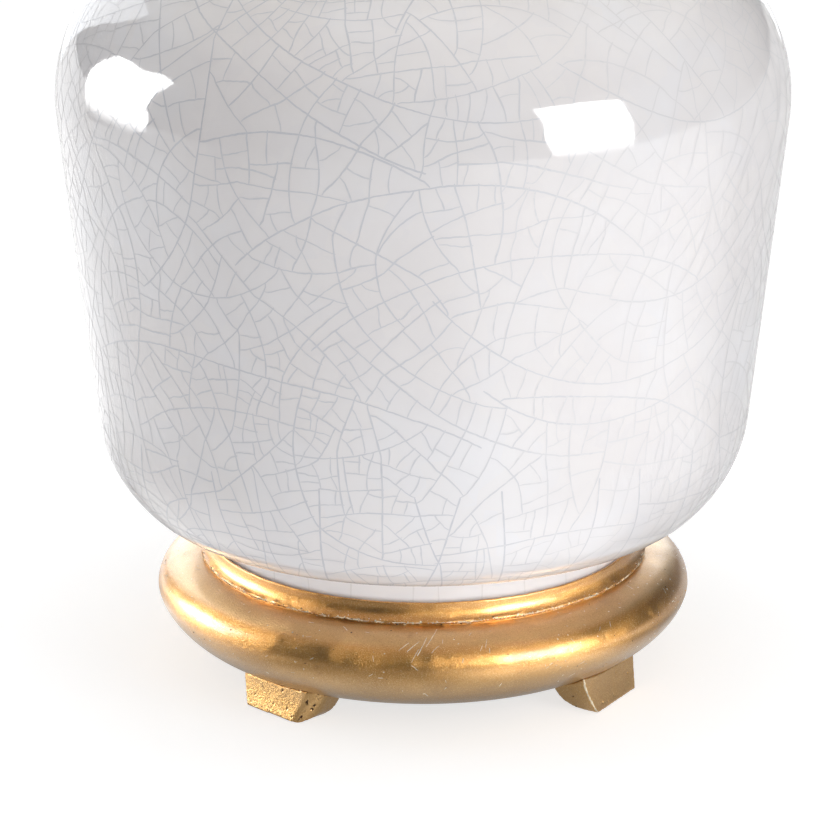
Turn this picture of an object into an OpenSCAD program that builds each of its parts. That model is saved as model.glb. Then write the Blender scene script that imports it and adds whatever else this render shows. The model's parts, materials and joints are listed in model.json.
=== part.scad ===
// Table lamp: a crackle-glazed ceramic jar on a gold-leafed stand with four bracket feet,
// a harp with a turn-knob socket, and a linen drum shade. Millimetres, +Z up.
// The origin is on the table, on the lamp's axis. The front is towards -Y.

/* [Stand] */
// Radius of the stand's round moulding at its widest line
stand_r = 101; // [97:1:112]
// Height of the widest line above the moulding's flat underside
stand_belly_h = 20.3; // [18:0.1:24]
// Width of the moulding's lower curve
stand_low_w = 24; // [20:0.1:27]
// Roundness of that curve: 2 is an ellipse, and less is flatter along its slope
stand_low_bow = 1.57; // [1.4:0.01:2]
// Height of the moulding's upper curve
stand_top_h = 12.4; // [9:0.1:15]
// Height of the raised lip above the groove
lip_h = 7.8; // [6:0.1:10]
// Thickness of the lip at its top edge
lip_t = 1.2; // [0.9:0.1:1.6]
// Extra thickness of the lip at its foot
lip_flare = 1.9; // [1:0.1:2.4]
// Thickness of the web that carries the jar
web_t = 8; // [6:0.5:11]
// Radius of the hollow under the web
recess_r = 50; // [44:1:54]
// Radius of the rebate that holds the base cover
rebate_r = 61.5; // [57:0.5:63]
// Depth of that rebate
rebate_d = 2.6; // [2.4:0.1:3.5]

/* [Feet] */
// Clear height under the stand
foot_h = 9.2; // [7:0.1:14]
// Distance of a foot's outer face from the lamp's axis, at the table
foot_out_r = 88.5; // [86:0.5:92]
// Width of a foot across its outer face, at the table
foot_w = 29.4; // [22:0.2:36]
// How much wider a foot is at the top, on each side
foot_spread = 4.8; // [1:0.1:6]
// Radial depth of a foot at the table
foot_base_d = 6.8; // [5:0.1:12]
// Further depth that its curved back gains up to the stand
foot_back_d = 10.4; // [6:0.1:12]
// Outward kick of the outer face at its lower edge
foot_kick = 3.7; // [1:0.1:5]
// Turn of the first foot from the front, towards +X
foot_turn = -38.3; // [-45:0.1:-30]

/* [Jar] */
// Greatest radius of the jar
jar_r = 135; // [128:1:145]
// Height from the jar's foot rim to its widest line
jar_belly_h = 177; // [165:1:200]
// Radius of the shoulder's curve
shoulder_r = 62.3; // [50:0.1:66]
// Radius of the curve at the bottom of the flank
flank_foot_r = 50.4; // [44:0.1:56]
// Distance of that curve's centre from the axis
flank_foot_x = 72.2; // [68:0.1:76]
// Radius of the tight curve that turns under to the foot
heel_r = 18.5; // [14:0.1:22]
// Angle at which the tight curve takes over, below the horizontal
heel_angle = 47; // [40:1:55]
// Radius of the foot rim
jar_foot_r = 79.8; // [76:0.1:82]
// Height of the foot rim
jar_foot_h = 19; // [16:0.5:24]
// Radial thickness of the foot rim
jar_foot_t = 9; // [7:0.5:12]
// Thickness of the ceramic wall
jar_wall = 6; // [4.5:0.5:8]
// Rise of the crown from the shoulder to the collar, in degrees
crown_slope = 6; // [3:0.5:9]
// Outer radius of the collar
collar_r = 38; // [34:0.5:42]
// Height of the collar above the crown
collar_h = 14; // [11:0.5:20]

/* [Cap and neck] */
// Sheet thickness of the spun brass vase cap
cap_t = 1.2; // [0.8:0.1:1.6]
// Height of the cap's cove above its seat
cap_cove_h = 15; // [11:0.5:20]
// Depth of the skirt that goes down round the collar
cap_skirt_h = 8; // [5:0.5:9]
// Radius of the cap's top, under the neck
cap_top_r = 13; // [11:0.5:15]
// Height of the turned brass neck
neck_h = 28; // [20:1:40]
// Radius of the neck's waist
neck_waist_r = 8.6; // [7.8:0.1:10]
// Thickness of the check ring on the neck
check_ring_t = 3; // [2:0.5:5]
// Radius of the check ring
check_ring_r = 12.5; // [12:0.5:15]

/* [Harp] */
// Distance of each harp leg from the axis
harp_leg_x = 36; // [32:0.5:40]
// Straight length of the leg above the saddle's prong
harp_leg_h = 22; // [20:1:40]
// Radius of the harp's long side curves
harp_side_r = 175; // [160:1:200]
// Radius of the harp wire
wire_r = 1.7; // [1.4:0.1:2]
// Thickness of the saddle's strip
saddle_t = 1.8; // [1.4:0.1:2.2]
// Width of the saddle's strip
saddle_w = 13; // [11:0.5:14]
// Height of the saddle's arms
saddle_rise = 12; // [9:0.5:16]
// Length of each locking sleeve
sleeve_h = 15; // [13:0.5:17]
// Wall thickness of the sleeves
sleeve_t = 0.8; // [0.6:0.1:1.2]

/* [Socket] */
// Outer radius of the socket's cap at its rim
socket_r = 17.6; // [17.2:0.1:19]
// Height of the socket's cap
socket_cap_h = 22; // [20:0.5:26]
// Length of the outer shell above the cap
shell_h = 40; // [38:0.5:50]
// Sheet thickness of the cap and the shell
socket_t = 0.6; // [0.4:0.1:0.7]
// Radius of the lamp base's screw cap
bulb_screw_r = 13; // [12.9:0.05:13.2]
// Length of the turn knob
knob_l = 14; // [11:0.5:17]
// Radius of the turn knob
knob_r = 6; // [5:0.5:7.5]

/* [Bulb] */
// Greatest radius of the bulb's glass
bulb_r = 30; // [24:0.5:34]
// Length of the glass above its screw cap
bulb_glass_h = 82; // [76:1:96]

/* [Shade] */
// Radius of the shade's lower edge
shade_bottom_r = 203; // [180:1:220]
// Radius of the shade's upper edge
shade_top_r = 178; // [160:1:195]
// Height of the shade
shade_h = 268; // [240:1:285]
// Thickness of the linen cover
cover_t = 0.8; // [0.6:0.1:1.2]
// Thickness of the stiff backing
backing_t = 0.8; // [0.6:0.1:1.2]
// Drop from the shade's upper edge to the spider's hub
spider_drop = 14; // [9:0.5:20]
// Radius of the rings' and the spider's wire
ring_wire_r = 1.6; // [1.2:0.1:2]
// Width of the folded trim at both edges
trim_w = 9; // [6:0.5:14]

/* [Finial] */
// Radius of the finial's ball
finial_r = 11; // [8:0.5:14]
// Height of the finial's threaded base
finial_base_h = 11; // [10:0.5:14]

/* [Pipe and hardware] */
// Outer radius of the threaded pipe
pipe_r = 5.15; // [4.8:0.05:5.2]
// Radius of the pipe's bore
pipe_bore_r = 3.4; // [3:0.1:3.6]
// Distance across the flats of the base nut
nut_af = 16; // [14.5:0.5:19]
// Thickness of the base nut
nut_t = 4.5; // [3.5:0.5:6]
// Radius of the steel base washer
washer_r = 19; // [15:0.5:26]
// Thickness of the base washer
washer_t = 2; // [1.5:0.5:3]
// Radius of the cord's way through the bushing
cord_way_r = 3.4; // [2.8:0.1:3.8]

/* [Hidden] */

$fn = 96;
arc_step = 5;          // degrees between the points of a profile's curves
gold = [0.80, 0.62, 0.36];
brass = [0.80, 0.66, 0.34];
steel = [0.72, 0.73, 0.75];
glaze = [0.93, 0.92, 0.93];
linen = [0.95, 0.94, 0.90];

// Clearances
hole_gap = 0.25;       // round the pipe where it only passes through
fit_gap = 0.1;         // radial, between sheet parts that slip into each other
run_gap = 0.06;        // radial, between a turning or sliding part and its bearing
rub_gap = 0.1;         // between flat faces that turn on each other
lip_gap = 0.8;         // between the jar's foot rim and the stand's lip
cap_gap = 2.4;         // between the collar and the cap's skirt
gasket_t = 1.2;        // thickness of the felt and rubber gaskets
glue_gap = 0.05;       // between layers that are glued or welded together

// Heights of the stand
under_z = foot_h;
belly_z = under_z + stand_belly_h;
groove_z = belly_z + stand_top_h;
seat_z = groove_z;
web_z = seat_z - web_t;
lip_z = groove_z + lip_h;
lip_in_r = jar_foot_r + lip_gap;
groove_r = lip_in_r + lip_t + lip_flare;
quirk_t = 0.2;         // fillet between the groove and the bead
lip_bead_r = 0.9;      // bead at the lip's foot
flare_z0 = groove_z + quirk_t + 2 * lip_bead_r;
flare_z1 = lip_z - lip_t;
foot_face_h = 6.8;     // height over the table's clearance where a foot's faces turn upright
foot_sweep = 1.7;      // power of the curve by which they get there
foot_middle_r = 75;    // where each foot is twisted
// How the feet were set by hand: turn, twist and outward shift of each, from the front left on
foot_sets = [[0, -5.2, -1.2], [91.1, 5.8, 1.3], [180, 0, 0], [270, 0, 0]];

// Heights and curves of the jar
jar_z = seat_z + gasket_t;
jar_under_z = jar_z + jar_foot_h;
jar_belly_z = jar_z + jar_belly_h;
shoulder_x = jar_r - shoulder_r;
heel_drop = flank_foot_r - heel_r;
heel_z = jar_under_z + heel_r;
heel_x = flank_foot_x + heel_drop * cos(heel_angle);
flank_foot_z = heel_z + heel_drop * sin(heel_angle);
flank_dx = shoulder_x - flank_foot_x;
flank_dz = jar_belly_z - flank_foot_z;
flank_angle = atan2(flank_dz, flank_dx)
    - acos((flank_foot_r - shoulder_r) / norm([flank_dx, flank_dz]));
crown_end = 90 - crown_slope;
crown_x = shoulder_x + shoulder_r * cos(crown_end);
crown_z = jar_belly_z + shoulder_r * sin(crown_end);
collar_fillet = 8;
rim_round = 2.5;
function crown_at(r) = crown_z + (crown_x - r) * tan(crown_slope);
collar_z = crown_at(collar_r) + collar_h;
jar_foot_fillet = 4;
jar_hole_r = pipe_r + 1;
foot_round = 1.5;      // edge of the foot rim
foot_splay = 3;        // chamfer between the foot rim's inside and the floor

// Heights above the jar
cap_seat_z = collar_z + gasket_t;
cap_in_r = collar_r + cap_gap;
cap_z = cap_seat_z + cap_t;
cap_ledge = 7;         // flat width of the cap over the collar
neck_z = cap_z + cap_cove_h;
neck_inset = 0.5;      // step from the cap's edge to the neck's bead
check_z = neck_z + neck_h;
saddle_z = check_z + check_ring_t;
socket_z = saddle_z + saddle_t;
pipe_hole_r = pipe_r + hole_gap;

// Hardware under the web
lock_t = 1.4;
lock_r = nut_af / 2 + 0.5;
lock_slit = 1.6;
nut_z = web_z - washer_t - lock_t - nut_t;
pipe_tail = 3;         // thread left free below the nut
pipe_z = nut_z - pipe_tail;
nut_corner_r = nut_af / sqrt(3);
nut_chamfer = 1.1;
socket_neck_h = 9;
socket_neck_r = 8.2;
pipe_top_z = socket_z + socket_neck_h;
bushing_rise = 12.5;    // from the moulding's underside to the cord's way
bushing_z = under_z + bushing_rise;
bushing_l = 12;
bushing_flange_r = 6.5;
bushing_flange_t = 1.6;
bushing_round = 1;
bushing_t = 1.3;
bushing_r = cord_way_r + bushing_t;
bushing_drop = (belly_z - bushing_z + bushing_flange_r) / stand_belly_h;
bushing_in = 1 - pow(1 - pow(bushing_drop, stand_low_bow), 1 / stand_low_bow);
bushing_y = stand_r - stand_low_w * bushing_in - bushing_flange_t;
cover_recess = 0.4;    // the cover lies this deep in its rebate
cover_board_t = rebate_d - cover_recess;

// Harp: each side is a leg, an outward flare, a long side curve and a corner
harp_flare = 25;
harp_flare_r = 40;
harp_top_turn = 35;
harp_corner_r = 18;
saddle_taper = 2;      // each edge draws in this much towards the prongs
prong_h = 13;
lap_h = 8;             // the prong and the leg are half round over this length
wire_sink = 3;         // the bent wire starts this deep in the straight leg
prong_z = saddle_z + saddle_rise;
harp_z = prong_z + prong_h;
harp_mid_x = harp_leg_x + (harp_flare_r + harp_side_r) * (1 - cos(harp_flare));
harp_top_x = harp_mid_x - harp_side_r * (1 - cos(harp_top_turn)) - harp_corner_r * cos(harp_top_turn);
harp_h = harp_leg_h + harp_flare_r * sin(harp_flare)
    + harp_side_r * (sin(harp_flare) + sin(harp_top_turn)) + harp_corner_r * (1 - sin(harp_top_turn));
harp_top_z = harp_z + harp_h;
stud_r = 3.175;
ferrule_r = 4.2;
ferrule_h = wire_r + 2.4; // half its height
flange_r = 9;
flange_t = 1.6;
flange_z = harp_top_z + ferrule_h;

// Shade and finial
hub_z = flange_z + flange_t + rub_gap;
hub_t = 1.4;
hub_r = 15;
shade_z1 = hub_z + spider_drop;
shade_z0 = shade_z1 - shade_h;
shade_lean = atan2(shade_bottom_r - shade_top_r, shade_h);
function shade_at(z) = shade_bottom_r + (shade_top_r - shade_bottom_r) * (z - shade_z0) / shade_h;
trim_t = 0.6;
trim_out = trim_t + glue_gap;
shade_wall_t = cover_t + glue_gap + backing_t;
ring_inset = shade_wall_t + ring_wire_r / cos(shade_lean) + glue_gap;
top_ring_z = shade_z1 - ring_wire_r;
top_ring_r = shade_at(top_ring_z) - ring_inset;
bottom_ring_z = shade_z0 + ring_wire_r;
bottom_ring_r = shade_at(bottom_ring_z) - ring_inset;
finial_z = hub_z + hub_t + rub_gap;
finial_base_r = 6.5;
finial_ball_z = finial_z + finial_base_h + finial_r * 0.9;
button_r = 3;
stud_top_z = finial_z + finial_base_h - 2;

// Socket and bulb
shell_r = socket_r - socket_t - fit_gap;
shell_lap = 8;         // the shell goes this deep into the cap
shell_z = socket_z + socket_cap_h - shell_lap;
shell_top_z = socket_z + socket_cap_h + shell_h;
liner_t = 0.6;
liner_inset = 1;       // the liner stops this short of the shell's ends
liner_r = shell_r - socket_t - fit_gap;
interior_r = liner_r - liner_t - fit_gap;
cord_room = 4;         // between the pipe's end and the switch's body, for the knot
interior_z = pipe_top_z + cord_room;
interior_h = 22;
screw_shell_t = 0.5;
screw_shell_z = interior_z + interior_h;
bulb_seat = 5.5;       // from the screw shell's floor to the bulb's cap
bulb_z = screw_shell_z + bulb_seat;
bulb_screw_h = 23;
bulb_neck_z = bulb_z + bulb_screw_h;
bulb_ball_z = bulb_neck_z + bulb_glass_h - bulb_r;
glass_t = 1;
bulb_cap_t = 0.6;
bulb_nose_r = 9;       // radius where the cap meets the insulator
bulb_cone_h = 2;
nose_t = 1.2;
contact_r = 5;
contact_drop = 2.6;    // from the bulb's screw cap to its contact's tip
terminal_x = 12;
terminal_z = interior_z + 9;
terminal_w = 13;
terminal_r = 1.5;
terminal_in_x = 4;
set_screw_r = 1.6;
screw_head_r = 2.7;
screw_head_t = 1.7;
slot_w = 0.8;
slot_d = 0.8;
switch_rise = 5.5;     // from the cap's rim to the shaft
switch_z = socket_z + socket_cap_h + switch_rise;
shaft_r = 2;
shaft_way_gap = 1.2;   // round the shaft where it leaves the shell
shaft_in_y = 5;
knob_gap = 0.8;        // between the shell and the knob
knob_y = socket_r + knob_gap;
shaft_out_y = knob_y + 5;
shaft_end_gap = 0.4;   // at both ends of the shaft
knob_paddle_t = 4.6;
knob_boss_h = 5;       // below the knob's paddle

// Points of a circle's or an ellipse's arc, from one angle to another
function steps(a0, a1) = max(2, ceil(abs(a1 - a0) / arc_step));
function arc(x, z, rx, rz, a0, a1) = let (n = steps(a0, a1))
    [for (i = [0:n]) let (a = a0 + (a1 - a0) * i / n) [x + rx * cos(a), z + rz * sin(a)]];

// Lower quarter of a curve like an ellipse's, from its bottom to its widest point
function low_curve(x, z, rx, rz, bow) = let (n = steps(0, 90))
    [for (i = [0:n]) let (a = 90 * i / n)
        [x + rx * pow(sin(a), 2 / bow), z - rz * pow(cos(a), 2 / bow)]];

module turned(points) rotate_extrude() polygon(points);
module ring(r_out, r_in, h) difference() {
    cylinder(r = r_out, h = h);
    translate([0, 0, -1]) cylinder(r = r_in, h = h + 2);
}
module torus(r, wire) rotate_extrude() translate([r, 0]) circle(r = wire, $fn = 32);

// Stand: one turned moulding with a lip, a web and a hollow below
module stand_body() turned(concat(
    [[rebate_r, under_z]],
    low_curve(stand_r - stand_low_w, belly_z, stand_low_w, stand_belly_h, stand_low_bow),
    arc(groove_r, belly_z, stand_r - groove_r, stand_top_h, 0, 90),
    arc(groove_r, flare_z0 - lip_bead_r, lip_bead_r, lip_bead_r, -90, 90),
    arc(groove_r, flare_z1, lip_flare, flare_z1 - flare_z0, 270, 180),
    arc(lip_in_r + lip_t / 2, lip_z - lip_t / 2, lip_t / 2, lip_t / 2, 0, 180),
    [[lip_in_r, seat_z], [pipe_hole_r, seat_z], [pipe_hole_r, web_z], [recess_r, web_z],
     [recess_r, under_z + rebate_d], [rebate_r, under_z + rebate_d]]));

module stand() color(gold) difference() {
    stand_body();
    translate([0, 0, bushing_z]) rotate([-90, 0, 0]) {
        cylinder(r = bushing_r + fit_gap, h = stand_r);
        translate([0, 0, bushing_y]) cylinder(r = bushing_flange_r + fit_gap, h = stand_r);
    }
}

// Bracket foot: curved back, kicked outer face, hollow-sided front, trimmed to the moulding
module foot(n) color(gold) difference() {
    rotate([0, 0, foot_turn + foot_sets[n][0]]) translate([0, -foot_middle_r, 0])
        rotate([0, 0, foot_sets[n][1]]) translate([0, foot_middle_r - foot_sets[n][2], 0])
            intersection() {
                rotate([90, 0, -90]) linear_extrude(height = 3 * foot_w, center = true) foot_side();
                rotate([90, 0, 0]) linear_extrude(height = stand_r) foot_front();
            }
    stand_body();
}
// Curve from (w, 0) to (0, foot_h + foot_face_h), flatter at the top
function foot_curve(w, steps = 10) = [for (i = [0:steps])
    [w * pow(1 - i / steps, foot_sweep), (foot_h + foot_face_h) * i / steps]];
module foot_side() {
    back_x = foot_out_r - foot_base_d;
    polygon(concat(
        [for (p = foot_curve(foot_kick)) [foot_out_r - foot_kick + p[0], p[1]]],
        [[foot_out_r - foot_kick, belly_z], [back_x - foot_back_d, belly_z]],
        arc(back_x, foot_h, foot_back_d, foot_h, 180, 270)));
}
module foot_front() {
    wide = foot_w / 2 + foot_spread;
    side = [for (p = foot_curve(foot_spread)) [wide - p[0], p[1]]];
    polygon(concat(side, [[wide, belly_z], [-wide, belly_z]],
        [for (i = [len(side) - 1:-1:0]) [-side[i][0], side[i][1]]]));
}
module foot_front_left() foot(0);
module foot_front_right() foot(1);
module foot_rear_right() foot(2);
module foot_rear_left() foot(3);

// Board with a felt face that closes the hollow
module base_cover() color([0.20, 0.16, 0.13]) translate([0, 0, under_z + rebate_d - cover_board_t])
    cylinder(r = rebate_r - fit_gap, h = cover_board_t);

// Bushing that lines the cord's way out at the back
module cord_bushing() color([0.25, 0.19, 0.12]) translate([0, 0, bushing_z]) rotate([-90, 0, 0])
    difference() {
        union() {
            translate([0, 0, bushing_y - bushing_l])
                cylinder(r = bushing_r, h = bushing_l + bushing_flange_t / 2);
            turned(concat(
                [[0, bushing_y], [bushing_flange_r, bushing_y]],
                arc(bushing_flange_r - bushing_round, bushing_y + bushing_flange_t - bushing_round,
                    bushing_round, bushing_round, 0, 90),
                [[0, bushing_y + bushing_flange_t]]));
        }
        cylinder(r = cord_way_r, h = 2 * stand_r);
    }

// Washer, lock washer and nut that hold the pipe under the web
module base_washer() color(steel) translate([0, 0, web_z - washer_t])
    ring(washer_r, pipe_hole_r, washer_t);
module base_lock_washer() color(steel) translate([0, 0, web_z - washer_t - lock_t]) difference() {
    ring(lock_r, pipe_hole_r, lock_t);
    translate([0, -lock_slit / 2, -1]) cube([lock_r + 1, lock_slit, lock_t + 2]);
}
module base_nut() color(brass) translate([0, 0, nut_z]) difference() {
    intersection() {
        cylinder(r = nut_corner_r, h = nut_t, $fn = 6);
        turned([[0, 0], [nut_af / 2, 0], [nut_corner_r + 0.1, nut_chamfer],
                [nut_corner_r + 0.1, nut_t - nut_chamfer], [nut_af / 2, nut_t], [0, nut_t]]);
    }
    translate([0, 0, -1]) cylinder(r = pipe_r + run_gap, h = nut_t + 2);
}
module threaded_pipe() color(brass) translate([0, 0, pipe_z])
    ring(pipe_r, pipe_bore_r, pipe_top_z - pipe_z);

// Gaskets under the jar and under the cap
module jar_gasket() color([0.30, 0.26, 0.22]) translate([0, 0, seat_z])
    ring(jar_foot_r - 0.5, jar_foot_r - jar_foot_t, gasket_t);
module collar_gasket() color([0.15, 0.15, 0.15]) translate([0, 0, collar_z])
    ring(collar_r - rim_round, collar_r - jar_wall + 0.5, gasket_t);

// Ceramic jar: a hollow shell on a foot rim, open at the collar
module jar() color(glaze) {
    in_foot_r = jar_foot_r - jar_foot_t;
    in_crown_r = shoulder_r - jar_wall;
    in_collar_r = collar_r - jar_wall;
    fillet_x = collar_r + collar_fillet;
    fillet_z = crown_at(fillet_x) + collar_fillet / cos(crown_slope);
    turned(concat(
        arc(jar_foot_r - foot_round, jar_z + foot_round, foot_round, foot_round, -90, 0),
        arc(jar_foot_r + jar_foot_fillet, jar_under_z - jar_foot_fillet,
            jar_foot_fillet, jar_foot_fillet, 180, 90),
        arc(heel_x, heel_z, heel_r, heel_r, -90, -heel_angle),
        arc(flank_foot_x, flank_foot_z, flank_foot_r, flank_foot_r, -heel_angle + 1, flank_angle),
        arc(shoulder_x, jar_belly_z, shoulder_r, shoulder_r, flank_angle, crown_end),
        arc(fillet_x, fillet_z, collar_fillet, collar_fillet, 180 + crown_end, 180),
        arc(collar_r - rim_round, collar_z - rim_round, rim_round, rim_round, 0, 90),
        [[in_collar_r, collar_z], [in_collar_r, crown_at(in_collar_r) - jar_wall / cos(crown_slope)]],
        arc(shoulder_x, jar_belly_z, in_crown_r, in_crown_r, crown_end, flank_angle),
        arc(flank_foot_x, flank_foot_z, flank_foot_r - jar_wall, flank_foot_r - jar_wall,
            flank_angle, -heel_angle + 1),
        arc(heel_x, heel_z, heel_r - jar_wall, heel_r - jar_wall, -heel_angle, -90),
        [[jar_hole_r, jar_under_z + jar_wall], [jar_hole_r, jar_under_z],
         [in_foot_r - foot_splay, jar_under_z], [in_foot_r, jar_under_z - foot_splay],
         [in_foot_r, jar_z]]));
}

// Spun cap: a skirt round the collar and a cove up to the neck
module vase_cap() color(brass) {
    out_r = cap_in_r + cap_t;
    bend = 4;
    bead = 1;
    cove_x = collar_r - cap_ledge;
    cove_w = cove_x - cap_top_r;
    top_z = cap_z + cap_cove_h;
    skirt_z = cap_seat_z - cap_skirt_h;
    turned(concat(
        arc(out_r, skirt_z + bead, bead, bead, -90, 90),
        arc(out_r - bend, cap_z - bend, bend, bend, 0, 90),
        arc(cove_x, top_z, cove_w, cap_cove_h, 270, 184),
        [[cap_top_r, top_z], [pipe_hole_r, top_z], [pipe_hole_r, top_z - cap_t],
         [cap_top_r - cap_t, top_z - cap_t]],
        arc(cove_x, top_z, cove_w + cap_t, cap_cove_h + cap_t, 190, 270),
        arc(out_r - bend, cap_z - bend, bend - cap_t, bend - cap_t, 90, 0),
        [[cap_in_r, skirt_z]]));
}

// Turned neck: a base bead, a waist and a flared top
module neck_tube() color(brass) {
    bead = 1.5;
    fillet = 0.8;
    top_bead = 1;
    base_r = cap_top_r - bead - neck_inset;
    head_r = check_ring_r - 2 * neck_inset - top_bead;
    waist_z0 = neck_z + 2 * (bead + fillet);
    waist_z1 = check_z - 2 * top_bead;
    waist_rz = (waist_z1 - waist_z0) / 2;
    turned(concat(
        [[pipe_hole_r, neck_z]],
        arc(base_r, neck_z + bead, bead, bead, -90, 90),
        arc(base_r - fillet / 2, waist_z0 - fillet, fillet, fillet, -90, 90),
        arc(head_r, waist_z0 + waist_rz, head_r - neck_waist_r, waist_rz, 270, 90),
        arc(head_r, check_z - top_bead, top_bead, top_bead, -90, 90),
        [[pipe_hole_r, check_z]]));
}
module check_ring() color(brass) translate([0, 0, check_z]) {
    edge = check_ring_t / 2;
    turned(concat([[pipe_hole_r, 0]], arc(check_ring_r - edge, edge, edge, edge, -90, 90),
        [[pipe_hole_r, check_ring_t]]));
}

// Harp saddle: a strip bent up to two prongs, clamped round the pipe
module harp_saddle() color(brass) {
    bend_x = harp_leg_x + saddle_t / 2 - saddle_rise;
    end_x = harp_leg_x + saddle_t;
    end_y = saddle_w / 2 - saddle_taper;
    difference() {
        intersection() {
            rotate([90, 0, 0]) linear_extrude(height = 4 * check_ring_r, center = true) {
                translate([-bend_x, saddle_z]) square([2 * bend_x, saddle_t]);
                for (side = [0, 1]) mirror([side, 0]) saddle_bend(bend_x);
            }
            translate([0, 0, saddle_z - 1]) linear_extrude(height = saddle_rise + 2) {
                circle(r = check_ring_r);
                polygon([[end_x, end_y], [0, saddle_w / 2], [-end_x, end_y],
                    [-end_x, -end_y], [0, -saddle_w / 2], [end_x, -end_y]]);
            }
        }
        translate([0, 0, saddle_z - 1]) cylinder(r = pipe_hole_r, h = saddle_t + 2);
    }
    for (side = [-1, 1]) translate([side * harp_leg_x, 0, prong_z]) difference() {
        cylinder(r = wire_r, h = prong_h, $fn = 32);
        translate([-2 * wire_r, 0, prong_h - lap_h]) cube([4 * wire_r, 2 * wire_r, lap_h + 1]);
    }
}
module saddle_bend(bend_x) translate([bend_x, saddle_z + saddle_rise]) intersection() {
    difference() {
        circle(r = saddle_rise);
        circle(r = saddle_rise - saddle_t);
    }
    translate([0, -saddle_rise]) square(saddle_rise);
}

// Wire bent along a smooth path of [x, z] points
module swept_wire(path, wire) {
    sides = 12;
    last = len(path) - 1;
    polyhedron(
        points = [for (i = [0:last]) let (run = path[min(i + 1, last)] - path[max(i - 1, 0)],
            across = [run[1], -run[0]] / norm(run)) for (k = [0:sides - 1])
            let (a = 360 * k / sides, u = wire * cos(a))
            [path[i][0] + u * across[0], wire * sin(a), path[i][1] + u * across[1]]],
        faces = concat(
            [[for (k = [0:sides - 1]) k]],
            [for (i = [0:last - 1], k = [0:sides - 1])
                let (a = i * sides + k, b = i * sides + (k + 1) % sides) [b, a, a + sides, b + sides]],
            [[for (k = [sides - 1:-1:0]) last * sides + k]]));
}
function without_first(list) = [for (i = [1:len(list) - 1]) list[i]];
function mirrored(list) = [for (i = [len(list) - 1:-1:0]) [-list[i][0], list[i][1]]];

function harp_side_path() = let (
    flare_z = harp_z + harp_leg_h,
    side_x = harp_mid_x - harp_side_r,
    side_z = flare_z + (harp_flare_r + harp_side_r) * sin(harp_flare),
    reach = harp_side_r - harp_corner_r) concat(
    [[harp_leg_x, flare_z - wire_sink]],
    arc(harp_leg_x + harp_flare_r, flare_z, harp_flare_r, harp_flare_r, 180, 180 - harp_flare),
    without_first(arc(side_x, side_z, harp_side_r, harp_side_r, -harp_flare, harp_top_turn)),
    without_first(arc(side_x + reach * cos(harp_top_turn), side_z + reach * sin(harp_top_turn),
        harp_corner_r, harp_corner_r, harp_top_turn, 90)));
module harp_wire() color(brass) {
    swept_wire(concat(harp_side_path(), mirrored(harp_side_path())), wire_r - 0.05);
    for (side = [-1, 1]) translate([side * harp_leg_x, 0, harp_z - lap_h]) difference() {
        cylinder(r = wire_r, h = lap_h + harp_leg_h, $fn = 32);
        translate([-2 * wire_r, -2 * wire_r, -1]) cube([4 * wire_r, 2 * wire_r, lap_h + 1]);
    }
}

// Swivel on the harp's top: a ferrule round the wire, a flange and a threaded stud
module harp_stud() color(brass) difference() {
    union() {
        translate([0, 0, harp_top_z - ferrule_h]) cylinder(r = ferrule_r, h = 2 * ferrule_h);
        translate([0, 0, flange_z]) cylinder(r = flange_r, h = flange_t);
        translate([0, 0, flange_z]) cylinder(r = stud_r, h = stud_top_z - flange_z);
    }
    translate([-flange_r, 0, harp_top_z]) rotate([0, 90, 0])
        cylinder(r = wire_r + run_gap, h = 2 * flange_r, $fn = 32);
}

// Sleeve that locks each leg to its prong
module harp_sleeve(side) color(brass) translate([side * harp_leg_x, 0, prong_z + rub_gap]) {
    in_r = wire_r + run_gap;
    out_r = in_r + sleeve_t;
    lip = 0.4;
    lip_top = 1;
    turned([[in_r, 0], [out_r + lip, 0], [out_r + lip, lip_top], [out_r, lip_top + lip],
        [out_r, sleeve_h - lip], [out_r - lip, sleeve_h], [in_r, sleeve_h]]);
}
module harp_sleeve_left() harp_sleeve(-1);
module harp_sleeve_right() harp_sleeve(1);

// Socket cap: a neck on the pipe, a cup with a rolled rim, and its set screw
module socket_cap() color(brass) {
    cup = 6;
    round = 0.8;
    fillet = 1.5;
    floor_z = socket_neck_h - 1;
    wall_z = floor_z + cup;
    rim = socket_t / 2;
    difference() {
        translate([0, 0, socket_z]) turned(concat(
            [[pipe_r + run_gap, 0]],
            arc(socket_neck_r - round, round, round, round, -90, 0),
            arc(socket_neck_r + fillet, floor_z - fillet, fillet, fillet, 180, 90),
            arc(socket_r - cup, wall_z, cup, cup, -90, 0),
            arc(socket_r - rim, socket_cap_h - rim, rim, rim, 0, 180),
            arc(socket_r - cup, wall_z, cup - socket_t, cup - socket_t, 0, -90),
            [[pipe_r + run_gap, floor_z + socket_t]]));
        set_screw_place() cylinder(r = set_screw_r + run_gap, h = socket_r);
    }
}
module set_screw_place() translate([0, 0, socket_z + socket_neck_h / 2]) rotate([-90, 0, 0])
    children();
module socket_set_screw() color(steel) set_screw_place() difference() {
    head = socket_neck_r + 0.3;
    tip = pipe_r + rub_gap;
    turned([[0, tip], [set_screw_r, tip], [set_screw_r, head], [screw_head_r, head],
        [screw_head_r, head + screw_head_t - 0.5], [screw_head_r - 0.5, head + screw_head_t],
        [0, head + screw_head_t]]);
    screw_slot(head + screw_head_t);
}
module screw_slot(top) translate([-2 * screw_head_r, -slot_w / 2, top - slot_d])
    cube([4 * screw_head_r, slot_w, slot_d + 1]);

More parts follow.
